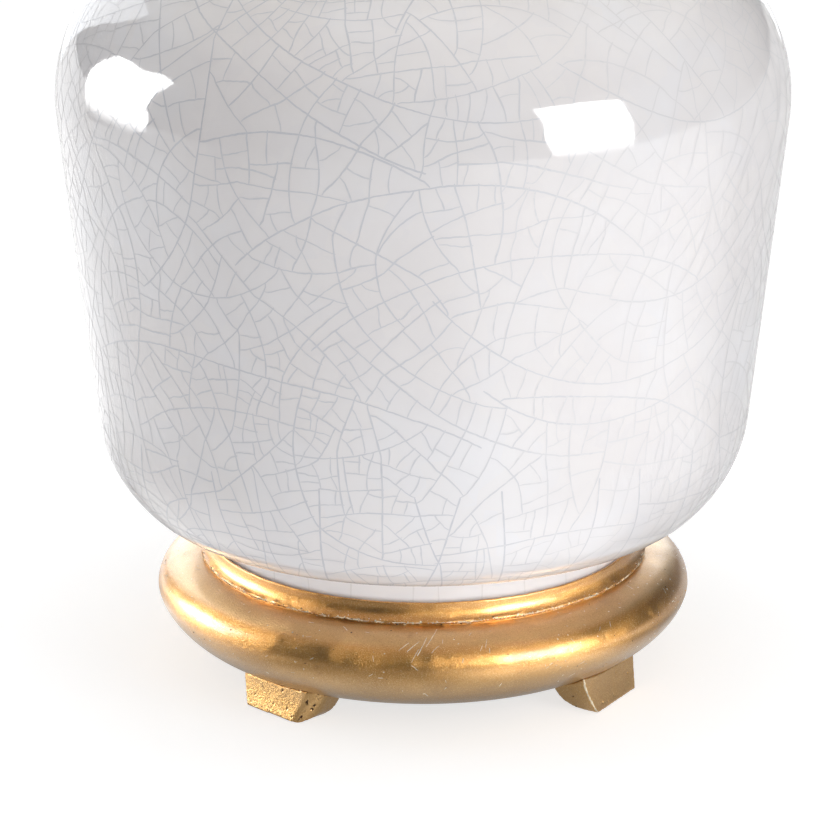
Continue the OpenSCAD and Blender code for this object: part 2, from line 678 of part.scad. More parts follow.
// Outer shell with a bead over the cap's rim, and its insulating liner
module shaft_way(r) translate([0, 0, switch_z]) rotate([90, 0, 0]) cylinder(r = r, h = 2 * socket_r);
module socket_shell() color(brass) difference() {
    in_r = shell_r - socket_t;
    bead = 0.7;
    turned(concat(
        [[in_r, shell_z], [shell_r, shell_z]],
        arc(shell_r, socket_z + socket_cap_h + rub_gap + bead, bead, bead, -90, 90),
        arc(shell_r, shell_top_z - bead, bead, bead, -90, 90),
        [[in_r, shell_top_z]]));
    shaft_way(shaft_r + shaft_way_gap);
}
module socket_liner() color([0.75, 0.68, 0.55]) difference() {
    translate([0, 0, shell_z + liner_inset])
        ring(liner_r, liner_r - liner_t, shell_top_z - shell_z - 2 * liner_inset);
    shaft_way(shaft_r + shaft_way_gap);
}

// Moulded body of the switch, with flats for the two terminals
module each_terminal() for (side = [-1, 1]) translate([0, 0, terminal_z]) rotate([0, side * 90, 0])
    children();
module socket_interior() color([0.12, 0.10, 0.09]) difference() {
    translate([0, 0, interior_z]) turned([[0, 0], [interior_r - 2, 0], [interior_r, 2],
        [interior_r, interior_h], [0, interior_h]]);
    each_terminal() {
        translate([-terminal_w / 2, -terminal_w / 2, terminal_x])
            cube([terminal_w, terminal_w, interior_r]);
        cylinder(r = terminal_r + fit_gap, h = terminal_x + 1, $fn = 32);
    }
    translate([0, -shaft_in_y, switch_z]) rotate([90, 0, 0])
        cylinder(r = shaft_r + run_gap, h = interior_r);
}
module terminal_screws() color(steel) each_terminal() difference() {
    union() {
        translate([0, 0, terminal_in_x])
            cylinder(r = terminal_r, h = terminal_x + 1 - terminal_in_x, $fn = 32);
        translate([0, 0, terminal_x]) cylinder(r = screw_head_r, h = screw_head_t, $fn = 48);
    }
    screw_slot(terminal_x + screw_head_t);
}

// Screw shell and centre contact that take the bulb
module screw_shell() color(brass) {
    in_r = bulb_screw_r + run_gap;
    top = bulb_screw_h + 2;
    translate([0, 0, screw_shell_z]) turned([[contact_r + 1.5, 0], [in_r + screw_shell_t, 0],
        [in_r + screw_shell_t, top], [in_r, top], [in_r, screw_shell_t], [contact_r + 1.5, screw_shell_t]]);
}
module centre_contact() color(brass) translate([0, 0, screw_shell_z]) {
    top = bulb_z - contact_drop - rub_gap - screw_shell_z;
    turned([[0, 0], [contact_r, 0], [contact_r, screw_shell_t], [contact_r * 0.6, top / 2],
        [contact_r * 0.6, top - 0.5], [contact_r / 2, top], [0, top]]);
}

// Switch: a shaft into the body and a paddle-shaped knob, both on the -Y side
module switch_shaft() color(brass) translate([0, -shaft_in_y - shaft_end_gap, switch_z])
    rotate([90, 0, 0]) cylinder(r = shaft_r, h = shaft_out_y - shaft_in_y - shaft_end_gap, $fn = 48);
module switch_knob() color([0.10, 0.09, 0.08]) translate([0, -knob_y, switch_z]) rotate([90, 0, 0])
    difference() {
        edge = 0.6;
        nose = 1.5;
        cut_r = 4;
        cut_x = knob_paddle_t / 2 + cut_r;
        turned(concat([[0, 0]],
            arc(knob_r - edge, edge, edge, edge, -90, 0),
            arc(knob_r - nose, knob_l - nose, nose, nose, 0, 90),
            [[0, knob_l]]));
        for (side = [-1, 1]) translate([side * cut_x, 0, knob_boss_h + cut_r]) {
            rotate([90, 0, 0]) cylinder(r = cut_r, h = 4 * knob_r, center = true);
            translate([-cut_r, -2 * knob_r, 0]) cube([2 * cut_r, 4 * knob_r, knob_l]);
        }
        translate([0, 0, -1])
            cylinder(r = shaft_r + run_gap, h = shaft_out_y - knob_y + shaft_end_gap + 1, $fn = 48);
    }

// Bulb: a glass envelope, its screw cap and its centre contact
module bulb_glass() color([0.97, 0.97, 0.95, 0.8]) {
    neck_r = bulb_screw_r - bulb_cap_t - fit_gap;
    lap_z = bulb_neck_z - 3;
    span = bulb_ball_z - bulb_neck_z;
    lean = atan2(span, -neck_r) - asin(bulb_r / norm([neck_r, span])) - 90;
    turned(concat(
        [[neck_r, lap_z], [neck_r, bulb_neck_z]],
        arc(0, bulb_ball_z, bulb_r, bulb_r, lean, 90),
        arc(0, bulb_ball_z, bulb_r - glass_t, bulb_r - glass_t, 90, lean),
        [[neck_r - glass_t, bulb_neck_z], [neck_r - glass_t, lap_z]]));
}
module bulb_screw_cap() color([0.78, 0.78, 0.80]) {
    in_r = bulb_screw_r - bulb_cap_t;
    heel = 1;
    heel_z = bulb_z + bulb_cone_h + heel;
    turned(concat(
        [[bulb_nose_r, bulb_z]],
        arc(bulb_screw_r - heel, heel_z, heel, heel, -90, 0),
        [[bulb_screw_r, bulb_neck_z], [in_r, bulb_neck_z], [in_r, heel_z],
         [bulb_nose_r, bulb_z + nose_t]]));
}
module bulb_contact() color([0.10, 0.10, 0.12]) {
    tip_r = 3;
    tip_t = 1;
    tip_z = bulb_z - contact_drop;
    turned(concat(
        [[0, bulb_z + nose_t], [0, tip_z]],
        arc(tip_r, tip_z + tip_t, tip_t, tip_t, -90, 0),
        [[bulb_nose_r / 2, tip_z + tip_t], [bulb_nose_r, bulb_z], [bulb_nose_r, bulb_z + nose_t]]));
}

// Shade: a linen cover on a stiff backing, trims, two rings and a spider
module shade_wall(z0, z1, inset, t) turned([
    [shade_at(z0) - inset, z0], [shade_at(z1) - inset, z1],
    [shade_at(z1) - inset - t, z1], [shade_at(z0) - inset - t, z0]]);
module shade_cover() color(linen) shade_wall(shade_z0, shade_z1, 0, cover_t);
module shade_backing() color("white") shade_wall(shade_z0, shade_z1, cover_t + glue_gap, backing_t);
module shade_top_trim() color(linen) {
    shade_wall(shade_z1 - trim_w, shade_z1, -trim_out, trim_t);
    shade_wall(shade_z1, shade_z1 + trim_t, -trim_out, shade_wall_t + trim_out);
}
module shade_bottom_trim() color(linen) {
    shade_wall(shade_z0, shade_z0 + trim_w, -trim_out, trim_t);
    shade_wall(shade_z0 - trim_t, shade_z0, -trim_out, shade_wall_t + trim_out);
}
module shade_top_ring() color(steel) translate([0, 0, top_ring_z]) torus(top_ring_r, ring_wire_r);
module shade_bottom_ring() color(steel) translate([0, 0, bottom_ring_z])
    torus(bottom_ring_r, ring_wire_r);
module shade_spider() color(steel) {
    translate([0, 0, hub_z]) ring(hub_r, stud_r + run_gap, hub_t);
    for (turn = [90, 210, 330]) rotate([0, 0, turn]) swept_wire(spider_path(), ring_wire_r);
}
function spider_path() = let (
    arm_z = hub_z + hub_t + ring_wire_r * 0.6,
    slope = 45,
    turn_r = 6,
    rise = top_ring_z - arm_z - 2 * turn_r * (1 - cos(slope)),
    out_x = top_ring_r - 4,
    low_x = out_x - 2 * turn_r * sin(slope) - rise / tan(slope)) concat(
    [[hub_r - 5, arm_z]],
    arc(low_x, arm_z + turn_r, turn_r, turn_r, -90, slope - 90),
    arc(out_x, top_ring_z - turn_r, turn_r, turn_r, 90 + slope, 90),
    [[top_ring_r - ring_wire_r - glue_gap, top_ring_z]]);

// Finial: a threaded base and a ball with a button
module finial_base() color(gold) difference() {
    bead = 1;
    cove = 2;
    translate([0, 0, finial_z]) turned(concat(
        [[0, 0]],
        arc(finial_base_r - bead, bead, bead, bead, -90, 90),
        arc(finial_base_r, finial_base_h / 2, cove, finial_base_h / 2 - 2 * bead, 270, 90),
        arc(finial_base_r - bead, finial_base_h - bead, bead, bead, -90, 90),
        [[0, finial_base_h]]));
    translate([0, 0, finial_z - 1]) cylinder(r = stud_r + run_gap, h = finial_base_h);
}
module finial() color(gold) {
    seat_z = finial_z + finial_base_h;
    button_z = finial_ball_z + finial_r + button_r / 2;
    turned(concat(
        [[0, seat_z]],
        arc(0, finial_ball_z, finial_r, finial_r, -asin((finial_ball_z - seat_z) / finial_r), 78),
        arc(0, button_z, button_r, button_r, -45, 90)));
}

stand();
foot_front_left();
foot_front_right();
foot_rear_right();
foot_rear_left();
base_cover();
cord_bushing();
base_washer();
base_lock_washer();
base_nut();
threaded_pipe();
jar_gasket();
jar();
collar_gasket();
vase_cap();
neck_tube();
check_ring();
harp_saddle();
harp_wire();
harp_stud();
harp_sleeve_left();
harp_sleeve_right();
socket_cap();
socket_set_screw();
socket_shell();
socket_liner();
socket_interior();
terminal_screws();
screw_shell();
centre_contact();
switch_shaft();
switch_knob();
bulb_glass();
bulb_screw_cap();
bulb_contact();
shade_cover();
shade_backing();
shade_top_trim();
shade_bottom_trim();
shade_top_ring();
shade_bottom_ring();
shade_spider();
finial_base();
finial();
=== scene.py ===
"""Table lamp: a crackle-glazed jar on a gold-leafed stand, a harp, a socket and a linen shade.
Profiles are in millimetres, as in the part's source, and meshes are made in metres."""
import json
import math
import random

import bmesh
import bpy
import numpy as np
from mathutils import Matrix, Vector, noise


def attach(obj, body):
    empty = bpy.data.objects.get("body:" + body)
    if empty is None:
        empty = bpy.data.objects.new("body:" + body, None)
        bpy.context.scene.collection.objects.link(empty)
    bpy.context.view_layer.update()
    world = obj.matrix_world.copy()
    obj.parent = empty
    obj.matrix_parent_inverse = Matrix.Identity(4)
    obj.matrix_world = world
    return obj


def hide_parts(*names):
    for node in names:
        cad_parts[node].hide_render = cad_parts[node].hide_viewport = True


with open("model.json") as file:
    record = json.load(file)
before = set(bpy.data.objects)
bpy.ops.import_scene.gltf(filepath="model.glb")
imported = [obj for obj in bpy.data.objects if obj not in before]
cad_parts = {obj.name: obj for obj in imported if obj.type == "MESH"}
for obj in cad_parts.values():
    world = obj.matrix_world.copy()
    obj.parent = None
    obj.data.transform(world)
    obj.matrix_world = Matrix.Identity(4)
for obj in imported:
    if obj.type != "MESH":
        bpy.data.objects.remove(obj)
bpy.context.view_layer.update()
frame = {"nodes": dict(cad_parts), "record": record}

NODES = frame["nodes"]
MM = 0.001
TAU = 2 * math.pi


# Mesh helpers
def mesh_object(name, verts, faces, sharp=30, uvs=None):
    mesh = bpy.data.meshes.new(name)
    mesh.from_pydata(verts, [], faces)
    if uvs is not None:
        layer = mesh.uv_layers.new(name="weave")
        layer.data.foreach_set("uv", np.asarray(uvs, np.float32).ravel())
    mesh.update()
    mesh.shade_smooth()
    if sharp:
        mesh.set_sharp_from_angle(angle=math.radians(sharp))
    obj = bpy.data.objects.new(name, mesh)
    bpy.context.scene.collection.objects.link(obj)
    return obj


def finish_piece(obj, body, material, replaced=()):
    """Gives the piece its materials, hangs it on its body, and hides the CAD nodes that it stands for."""
    materials = material if isinstance(material, (list, tuple)) else [material]
    obj.data.materials.clear()
    for m in materials:
        obj.data.materials.append(m)
    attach(obj, body)
    if replaced:
        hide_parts(*replaced)
    return obj


def arc(x, z, r, a0, a1, step=0.8, rz=None):
    """Points of an arc in millimetres, about step apart. rz makes it an ellipse's."""
    rz = r if rz is None else rz
    n = max(3, math.ceil(abs(math.radians(a1 - a0)) * max(r, rz) / step))
    turns = [math.radians(a0 + (a1 - a0) * i / n) for i in range(n + 1)]
    return [(x + r * math.cos(a), z + rz * math.sin(a)) for a in turns]


def dense(points, step):
    """The same line with no two points further apart than step."""
    out = [points[0]]
    for a, b in zip(points, points[1:]):
        d = math.dist(a, b)
        if d < 1e-5:
            continue
        n = max(1, math.ceil(d / step))
        out += [(a[0] + (b[0] - a[0]) * i / n, a[1] + (b[1] - a[1]) * i / n) for i in range(1, n + 1)]
    return out


def quad(s, i, n, segments):
    """Corners of face i between strips s and s + 1 of a closed grid with n points a strip."""
    here, beyond, j = s * n, (s + 1) % segments * n, (i + 1) % n
    return here + i, beyond + i, beyond + j, here + j


def lathe(name, profile, segments=192, shape=None, sharp=30):
    """Turns a closed profile of (x, z) millimetres. shape(r, z, angle) may move a point, as (r, z)."""
    verts, n = [], len(profile)
    for s in range(segments):
        a = TAU * s / segments
        for x, z in profile:
            if shape:
                x, z = shape(x, z, a)
            verts.append((x * math.cos(a) * MM, x * math.sin(a) * MM, z * MM))
    faces = [quad(s, i, n, segments) for s in range(segments) for i in range(n)]
    obj = mesh_object(name, verts, faces, sharp=0)
    bm = bmesh.new()
    bm.from_mesh(obj.data)
    bmesh.ops.remove_doubles(bm, verts=bm.verts, dist=1e-7)
    bmesh.ops.dissolve_degenerate(bm, edges=bm.edges, dist=1e-7)
    bmesh.ops.recalc_face_normals(bm, faces=bm.faces)
    bm.to_mesh(obj.data)
    bm.free()
    obj.data.shade_smooth()
    if sharp:
        obj.data.set_sharp_from_angle(angle=math.radians(sharp))
    return obj


def bent(end, shape):
    """A point in millimetres, moved as shape moves the turned face that it lies on."""
    a = math.atan2(end[1], end[0])
    r, z = shape(math.hypot(end[0], end[1]), end[2], a)
    return np.array((r * math.cos(a), r * math.sin(a), z))


def rumple(co, scale, octaves=3):
    """Fractal noise from about -1 to 1 at a point in millimetres, with features of that scale."""
    return noise.fractal(Vector(co) / scale, 1.0, 2.0, octaves)


# Materials
class Nodes:
    """An emptied node tree, and short calls for its nodes."""

    def __init__(self, tree):
        self.tree = tree
        tree.nodes.clear()

    def node(self, kind, **inputs):
        made = self.tree.nodes.new(kind)
        for key, value in inputs.items():
            self.feed(made.inputs[key.replace("_", " ")], value)
        return made

    def feed(self, socket, value):
        if isinstance(value, bpy.types.NodeSocket):
            self.tree.links.new(value, socket)
        else:
            socket.default_value = value

    def ramp(self, value, low, high, out_low=0.0, out_high=1.0):
        made = self.node("ShaderNodeMapRange")
        made.interpolation_type = "SMOOTHSTEP"
        for index, item in enumerate((value, low, high, out_low, out_high)):
            self.feed(made.inputs[index], item)
        return made.outputs[0]

    def math(self, operation, a, b=0.5, clamp=False):
        made = self.node("ShaderNodeMath")
        made.operation, made.use_clamp = operation, clamp
        self.feed(made.inputs[0], a)
        self.feed(made.inputs[1], b)
        return made.outputs[0]

    def pick(self, factor, a, b):
        """Shader a, or b where the factor is 1."""
        made = self.node("ShaderNodeMixShader")
        for index, item in enumerate((factor, a, b)):
            self.feed(made.inputs[index], item)
        return made.outputs[0]


class Paint(Nodes):
    """A node material with a Principled shader, and short calls for what feeds it."""

    def __init__(self, name, color, rough=0.5, **values):
        self.mat = bpy.data.materials.new(name)
        self.mat.use_nodes = True
        super().__init__(self.mat.node_tree)
        self.shader = self.node("ShaderNodeBsdfPrincipled")
        self.out = self.node("ShaderNodeOutputMaterial", Surface=self.shader.outputs[0])
        self.set("Base Color", (*color, 1))
        self.set("Roughness", rough)
        for key, value in values.items():
            self.set(key.replace("_", " "), value)
        self.place = self.node("ShaderNodeTexCoord").outputs["Object"]
        self.bumps = None

    def set(self, socket, value):
        self.feed(self.shader.inputs[socket], value)

    def stretched(self, scale, source=None):
        made = self.node("ShaderNodeMapping", Vector=source or self.place, Scale=scale)
        return made.outputs[0]

    def noise(self, scale, detail=3.0, rough=0.5, where=None, distortion=0.0):
        made = self.node("ShaderNodeTexNoise", Vector=where or self.place, Scale=scale, Detail=detail,
                         Roughness=rough, Distortion=distortion)
        return made.outputs[0]

    def cells(self, scale, output=0):
        return self.node("ShaderNodeTexVoronoi", Vector=self.place, Scale=scale).outputs[output]

    def mix(self, factor, a, b):
        made = self.node("ShaderNodeMix")
        made.data_type = "RGBA"
        for index, item in ((0, factor), (6, a), (7, b)):
            self.feed(made.inputs[index], (*item, 1) if isinstance(item, tuple) else item)
        return made.outputs[2]

    def bump(self, height, strength, distance):
        """Adds a bump. distance is in metres."""
        made = self.node("ShaderNodeBump", Height=height, Strength=strength, Distance=distance)
        if self.bumps is not None:
            self.feed(made.inputs["Normal"], self.bumps)
        self.bumps = made.outputs[0]
        self.set("Normal", self.bumps)


def make_glaze():
    p = Paint("glaze", (0.82, 0.805, 0.81), 0.06, IOR=1.55)
    blotch = p.ramp(p.noise(14, 4, 0.55), 0.35, 0.68)
    crazed = p.ramp(p.cells(110, output=1), 0.1, 0.9)
    tone = p.mix(blotch, (0.80, 0.775, 0.782), (0.83, 0.825, 0.85))
    tone = p.mix(p.math("MULTIPLY", crazed, 0.35), tone, (0.845, 0.815, 0.805))
    # Painted light: the glaze on the foot rim, below 60 to 66 mm, is whiter, for light thrown up onto it by
    # the gold lip.
    low = p.ramp(p.node("ShaderNodeSeparateXYZ", Vector=p.place).outputs["Z"], 0.060, 0.066, 1.0, 0.0)
    p.set("Base Color", p.mix(low, tone, (0.93, 0.915, 0.93)))
    p.bump(p.noise(26, 2, 0.4), 0.12, 0.002)
    p.bump(p.noise(260, 2, 0.5), 0.03, 0.0004)
    return p.mat


def make_crack_inks():
    """The craze lines are under the same gloss. The colour is plain in each, and the lines differ."""
    # The paler shades carry painted light on the right and a painted reflection at the far left; the last,
    # palest one is for the foot rim and its painted light.
    shades = ((0.65, 0.655, 0.70), (0.665, 0.67, 0.71), (0.68, 0.685, 0.72), (0.705, 0.705, 0.735),
              (0.735, 0.73, 0.75), (0.765, 0.755, 0.77), (0.855, 0.84, 0.85))
    return [Paint("craze_%d" % n, c, 0.06, IOR=1.55).mat for n, c in enumerate(shades)]


def make_gold(name, bright=1.0, grain=1.0):
    """Leaf over a red ground under a coat of lacquer, deeper in tone on the upper side as a painted
    reflection of the dim room, with a band of painted reflection under the groove and painted glints.
    """
    p = Paint(name, (0.62, 0.32, 0.09), 0.38, Metallic=1.0, Coat_Weight=1.0, Coat_Roughness=0.26,
              Coat_IOR=1.6)
    cloud = p.ramp(p.noise(22, 5, 0.6), 0.32, 0.70)
    height = p.node("ShaderNodeSeparateXYZ", Vector=p.place).outputs["Z"]
    # Painted reflection: the leaf is deeper and redder above 22 to 34 mm, where it mirrors the dim room in
    # front, and paler below.
    high = p.ramp(height, 0.022, 0.034)

    def tone(low, up):
        return p.mix(high, tuple(c * bright for c in low), tuple(c * bright for c in up))
    leaf = p.mix(cloud, tone((0.67, 0.385, 0.13), (0.70, 0.36, 0.10)),
                 tone((0.58, 0.315, 0.09), (0.60, 0.285, 0.065)))
    # Painted reflection: a lighter, yellower band on the upper face from 37 to 42.6 mm, for the bright
    # underside of the jar mirrored there.
    top = p.math("MULTIPLY", p.ramp(height, 0.0370, 0.0396), p.ramp(height, 0.0420, 0.0426, 1.0, 0.0))
    leaf = p.mix(top, leaf, tuple(c * bright for c in (0.72, 0.46, 0.20)))
    # Fine speckles: the lighter ones are painted glints; the darker ones are random tone of the leaf.
    fine = p.noise(2300, 3, 0.7)
    leaf = p.mix(p.ramp(fine, 0.52, 0.70, 0.0, 0.75), leaf, (0.90, 0.66, 0.30))
    leaf = p.mix(p.ramp(fine, 0.46, 0.30, 0.0, 0.5), leaf, (0.36, 0.17, 0.04))
    rubbed = p.math("MULTIPLY", p.ramp(p.noise(95, 6, 0.72), 0.60, 0.74), 0.4)
    p.set("Base Color", p.mix(rubbed, leaf, (0.38, 0.17, 0.05)))
    p.set("Roughness", p.ramp(p.noise(150, 5, 0.65), 0.3, 0.75, 0.28, 0.38))
    p.bump(p.noise(60, 5, 0.6), 0.30 * grain, 0.0006)
    patchy = p.ramp(p.noise(45, 3, 0.6), 0.38, 0.62, 0.3, 1.0)
    p.bump(p.math("MULTIPLY", p.noise(1500, 4, 0.75), patchy), 1.0 * grain, 0.0003)
    pits = p.ramp(p.cells(330), 0.06, 0.22)
    p.bump(pits, 0.35 * grain, 0.00015)
    scratch = p.noise(1.0, 3, 0.7, p.stretched((900, 900, 60)), 0.3)
    p.bump(p.ramp(scratch, 0.66, 0.72), 0.3 * grain, 0.0001)
    return p.mat


def make_ground(name, color, rough):
    """What shows where the leaf is rubbed or chipped: pale leaf dust, or the dark ground. The pale one also
    serves as a painted highlight along a foot's edge.
    """
    p = Paint(name, color, rough)
    dark = tuple(c * 0.6 for c in color)
    p.set("Base Color", p.mix(p.ramp(p.noise(500, 4, 0.7), 0.35, 0.65), color, dark))
    p.bump(p.noise(1200, 3, 0.6), 0.4, 0.0002)
    return p.mat


def make_brass():
    p = Paint("brass", (0.78, 0.58, 0.29), 0.28, Metallic=1.0)
    tarnish = p.ramp(p.noise(40, 5, 0.6), 0.4, 0.75)
    p.set("Base Color", p.mix(tarnish, (0.82, 0.62, 0.32), (0.70, 0.49, 0.22)))
    p.set("Roughness", p.ramp(p.noise(120, 4, 0.6), 0.3, 0.75, 0.20, 0.36))
    p.bump(p.noise(1.0, 2, 0.6, p.stretched((60, 60, 2600))), 0.10, 0.0001)
    return p.mat


def make_steel():
    p = Paint("steel", (0.62, 0.63, 0.65), 0.35, Metallic=1.0)
    p.set("Roughness", p.ramp(p.noise(300, 4, 0.6), 0.3, 0.7, 0.25, 0.45))
    p.set("Base Color", p.mix(p.noise(90, 3), (0.66, 0.67, 0.69), (0.55, 0.55, 0.56)))
    p.bump(p.noise(1500, 2), 0.1, 0.00005)
    return p.mat


def make_felt(name, color):
    p = Paint(name, color, 0.95, Sheen_Weight=0.4, Sheen_Roughness=0.5)
    fuzz = p.noise(1800, 3, 0.7)
    light = tuple(min(1.0, c * 1.7 + 0.01) for c in color)
    p.set("Base Color", p.mix(p.ramp(fuzz, 0.35, 0.7), color, light))
    p.bump(fuzz, 0.6, 0.0004)
    return p.mat


def make_mould(name, color, rough, wear=0.1, metal=0.0):
    """Moulded or coated pieces: a slight cloud in the colour and a fine skin."""
    p = Paint(name, color, rough, Metallic=metal)
    other = tuple(min(1.0, c * (1 + wear) + 0.004) for c in color)
    p.set("Base Color", p.mix(p.ramp(p.noise(160, 4, 0.6), 0.35, 0.7), color, other))
    p.set("Roughness", p.ramp(p.noise(500, 3, 0.6), 0.3, 0.7, rough * 0.85, min(1.0, rough * 1.15)))
    p.bump(p.noise(1400, 3, 0.6), 0.15, 0.00008)
    return p.mat


def make_bulb_glass():
    p = Paint("frosted_glass", (0.93, 0.93, 0.92), 0.32, IOR=1.5, Transmission_Weight=0.25)
    p.set("Base Color", p.mix(p.noise(30, 3), (0.95, 0.95, 0.94), (0.90, 0.90, 0.89)))
    p.bump(p.noise(2500, 2), 0.05, 0.00003)
    return p.mat


def make_linen():
    """A weave on the shade's own map: u and v are metres round and up."""
    p = Paint("linen", (0.80, 0.77, 0.69), 0.9, Sheen_Weight=0.25, Sheen_Roughness=0.4)
    uv = p.node("ShaderNodeUVMap")
    uv.uv_map = "weave"
    place = uv.outputs[0]
    pitch = 1250.0
    slub_u = p.noise(1.0, 3, 0.6, p.stretched((14, 900, 1), place))
    slub_v = p.noise(1.0, 3, 0.6, p.stretched((900, 14, 1), place))
    parts = p.node("ShaderNodeSeparateXYZ", Vector=place)

    def thread(axis, slub):
        wobble = p.math("MULTIPLY", slub, 2.2)
        turn = p.math("ADD", p.math("MULTIPLY", parts.outputs[axis], pitch * math.pi), wobble)
        return p.math("ABSOLUTE", p.math("SINE", turn))
    warp, weft = thread(0, slub_v), thread(1, slub_u)
    weave = p.math("MAXIMUM", p.math("MULTIPLY", warp, slub_v), p.math("MULTIPLY", weft, slub_u))
    tone = p.mix(p.ramp(weave, 0.15, 0.62), (0.66, 0.62, 0.53), (0.86, 0.835, 0.765))
    p.set("Base Color", p.mix(p.math("MULTIPLY", p.ramp(slub_u, 0.5, 0.75), 0.4), tone, (0.90, 0.88, 0.82)))
    p.bump(weave, 0.5, 0.0003)
    return p.mat


def make_styrene():
    p = Paint("styrene", (0.88, 0.87, 0.83), 0.5)
    p.set("Base Color", p.mix(p.noise(12, 3), (0.90, 0.89, 0.86), (0.86, 0.85, 0.81)))
    p.bump(p.noise(500, 2), 0.06, 0.0001)
    return p.mat


GLAZE, INKS = make_glaze(), make_crack_inks()
GOLD, FOOT_GOLD = make_gold("gold_leaf"), make_gold("gold_leaf_carved", 1.06, 0.6)
# Near white: pale leaf dust in scratches and crumbs, and the painted highlight along a foot's front edge.
WORN_AND_HIGHLIGHT = make_ground("worn_leaf_and_highlight", (1.0, 0.90, 0.68), 0.4)
CHIP = make_ground("bare_ground", (0.12, 0.06, 0.025), 0.8)
PAD_FELT = make_felt("pad_felt", (0.09, 0.075, 0.06))
CAP_METAL = make_mould("bulb_cap_metal", (0.68, 0.68, 0.70), 0.3, metal=1.0)
LINEN = make_linen()
BY_SLOT = {
    "gold_leaf": GOLD,
    "glaze": GLAZE,
    "brass": make_brass(),
    "shade_wire": make_mould("wire_coat", (0.78, 0.76, 0.70), 0.4, 0.04),
    "steel": make_steel(),
    "felt": make_felt("felt", (0.045, 0.033, 0.025)),
    "rubber": make_mould("rubber", (0.02, 0.02, 0.02), 0.75),
    "bushing": make_mould("bushing_plastic", (0.07, 0.045, 0.022), 0.55),
    "phenolic": make_mould("phenolic", (0.02, 0.016, 0.014), 0.35),
    "knob": make_mould("knob_plastic", (0.014, 0.012, 0.011), 0.22),
    "fibre": make_mould("fibre", (0.50, 0.40, 0.25), 0.85),
    "bulb_glass": make_bulb_glass(),
    "bulb_cap": CAP_METAL,
    "contact": make_mould("contact_glass", (0.015, 0.015, 0.02), 0.15),
    "linen": LINEN,
    "styrene": make_styrene(),
}


# Sizes repeated from the part's source, in millimetres
STAND_R, BELLY_Z, UNDER_Z, GROOVE_Z, LIP_Z = 101.0, 29.5, 9.2, 41.9, 49.7
LOW_W, LOW_BOW, BUSHING_Y = 24.0, 1.57, 89.3
FOOT_OUT, FOOT_HALF, FOOT_SPREAD, FOOT_KICK = 88.5, 14.7, 4.8, 3.7
FOOT_TOP, FOOT_SWEEP, FOOT_MIDDLE = 16.0, 1.7, 75.0
# Turn round the axis and twist about the foot's middle in degrees, and shift outward
FOOT_SETS = {"foot_front_left": (-38.3, -5.2, -1.2), "foot_front_right": (52.8, 5.8, 1.3),
             "foot_rear_right": (141.7, 0, 0), "foot_rear_left": (231.7, 0, 0)}
LIP_IN_R, LIP_T, LIP_FLARE = 80.6, 1.2, 1.9
GROOVE_R = LIP_IN_R + LIP_T + LIP_FLARE
WEB_Z, RECESS_R, REBATE_R, REBATE_D, PIPE_HOLE_R = 33.9, 50.0, 61.5, 2.6, 5.4
JAR_Z, JAR_FOOT_R, JAR_UNDER_Z, JAR_WALL, JAR_HOLE_R = 43.1, 79.8, 62.1, 6.0, 6.15
HEEL, FLANK, SHOULDER = (93.96, 80.6, 18.5), (72.2, 103.93, 50.4), (72.7, 220.1, 62.3)
FLANK_ANGLE, HEEL_ANGLE, CROWN_SLOPE = -6.13, 47.0, 6.0
CROWN = (79.21, 282.06)
COLLAR_R, COLLAR_Z, COLLAR_FILLET, RIM = 38.0, 300.39, 8.0, 2.5


def crown_at(r):
    return CROWN[1] + (CROWN[0] - r) * math.tan(math.radians(CROWN_SLOPE))


def jar_outside(step):
    fillet_x = COLLAR_R + COLLAR_FILLET
    fillet_z = crown_at(fillet_x) + COLLAR_FILLET / math.cos(math.radians(CROWN_SLOPE))
    return (arc(JAR_FOOT_R - 1.5, JAR_Z + 1.5, 1.5, -90, 0, step)
            + arc(JAR_FOOT_R + 4, JAR_UNDER_Z - 4, 4, 180, 90, step)
            + arc(*HEEL, -90, -HEEL_ANGLE, step)
            + arc(*FLANK, -HEEL_ANGLE + 1, FLANK_ANGLE, step)
            + arc(*SHOULDER, FLANK_ANGLE, 90 - CROWN_SLOPE, step)
            + arc(fillet_x, fillet_z, COLLAR_FILLET, 270 - CROWN_SLOPE, 180, step)
            + arc(COLLAR_R - RIM, COLLAR_Z - RIM, RIM, 0, 90, step))


# Jar
def make_jar():
    inner_r = COLLAR_R - JAR_WALL
    foot_in = JAR_FOOT_R - 9
    inner_z = crown_at(inner_r) - JAR_WALL / math.cos(math.radians(CROWN_SLOPE))
    inside = ([(inner_r, COLLAR_Z), (inner_r, inner_z)]
              + arc(SHOULDER[0], SHOULDER[1], SHOULDER[2] - JAR_WALL, 90 - CROWN_SLOPE, FLANK_ANGLE, 3)
              + arc(FLANK[0], FLANK[1], FLANK[2] - JAR_WALL, FLANK_ANGLE, -HEEL_ANGLE + 1, 3)
              + arc(HEEL[0], HEEL[1], HEEL[2] - JAR_WALL, -HEEL_ANGLE, -90, 3)
              + [(JAR_HOLE_R, JAR_UNDER_Z + JAR_WALL), (JAR_HOLE_R, JAR_UNDER_Z), (foot_in - 3, JAR_UNDER_Z),
                 (foot_in, JAR_UNDER_Z - 3), (foot_in, JAR_Z), (JAR_FOOT_R - 1.5, JAR_Z)])
    jar = lathe("jar_glazed", dense(jar_outside(1.2), 2.5) + inside, 288)
    finish_piece(jar, "base", GLAZE, ["jar"])


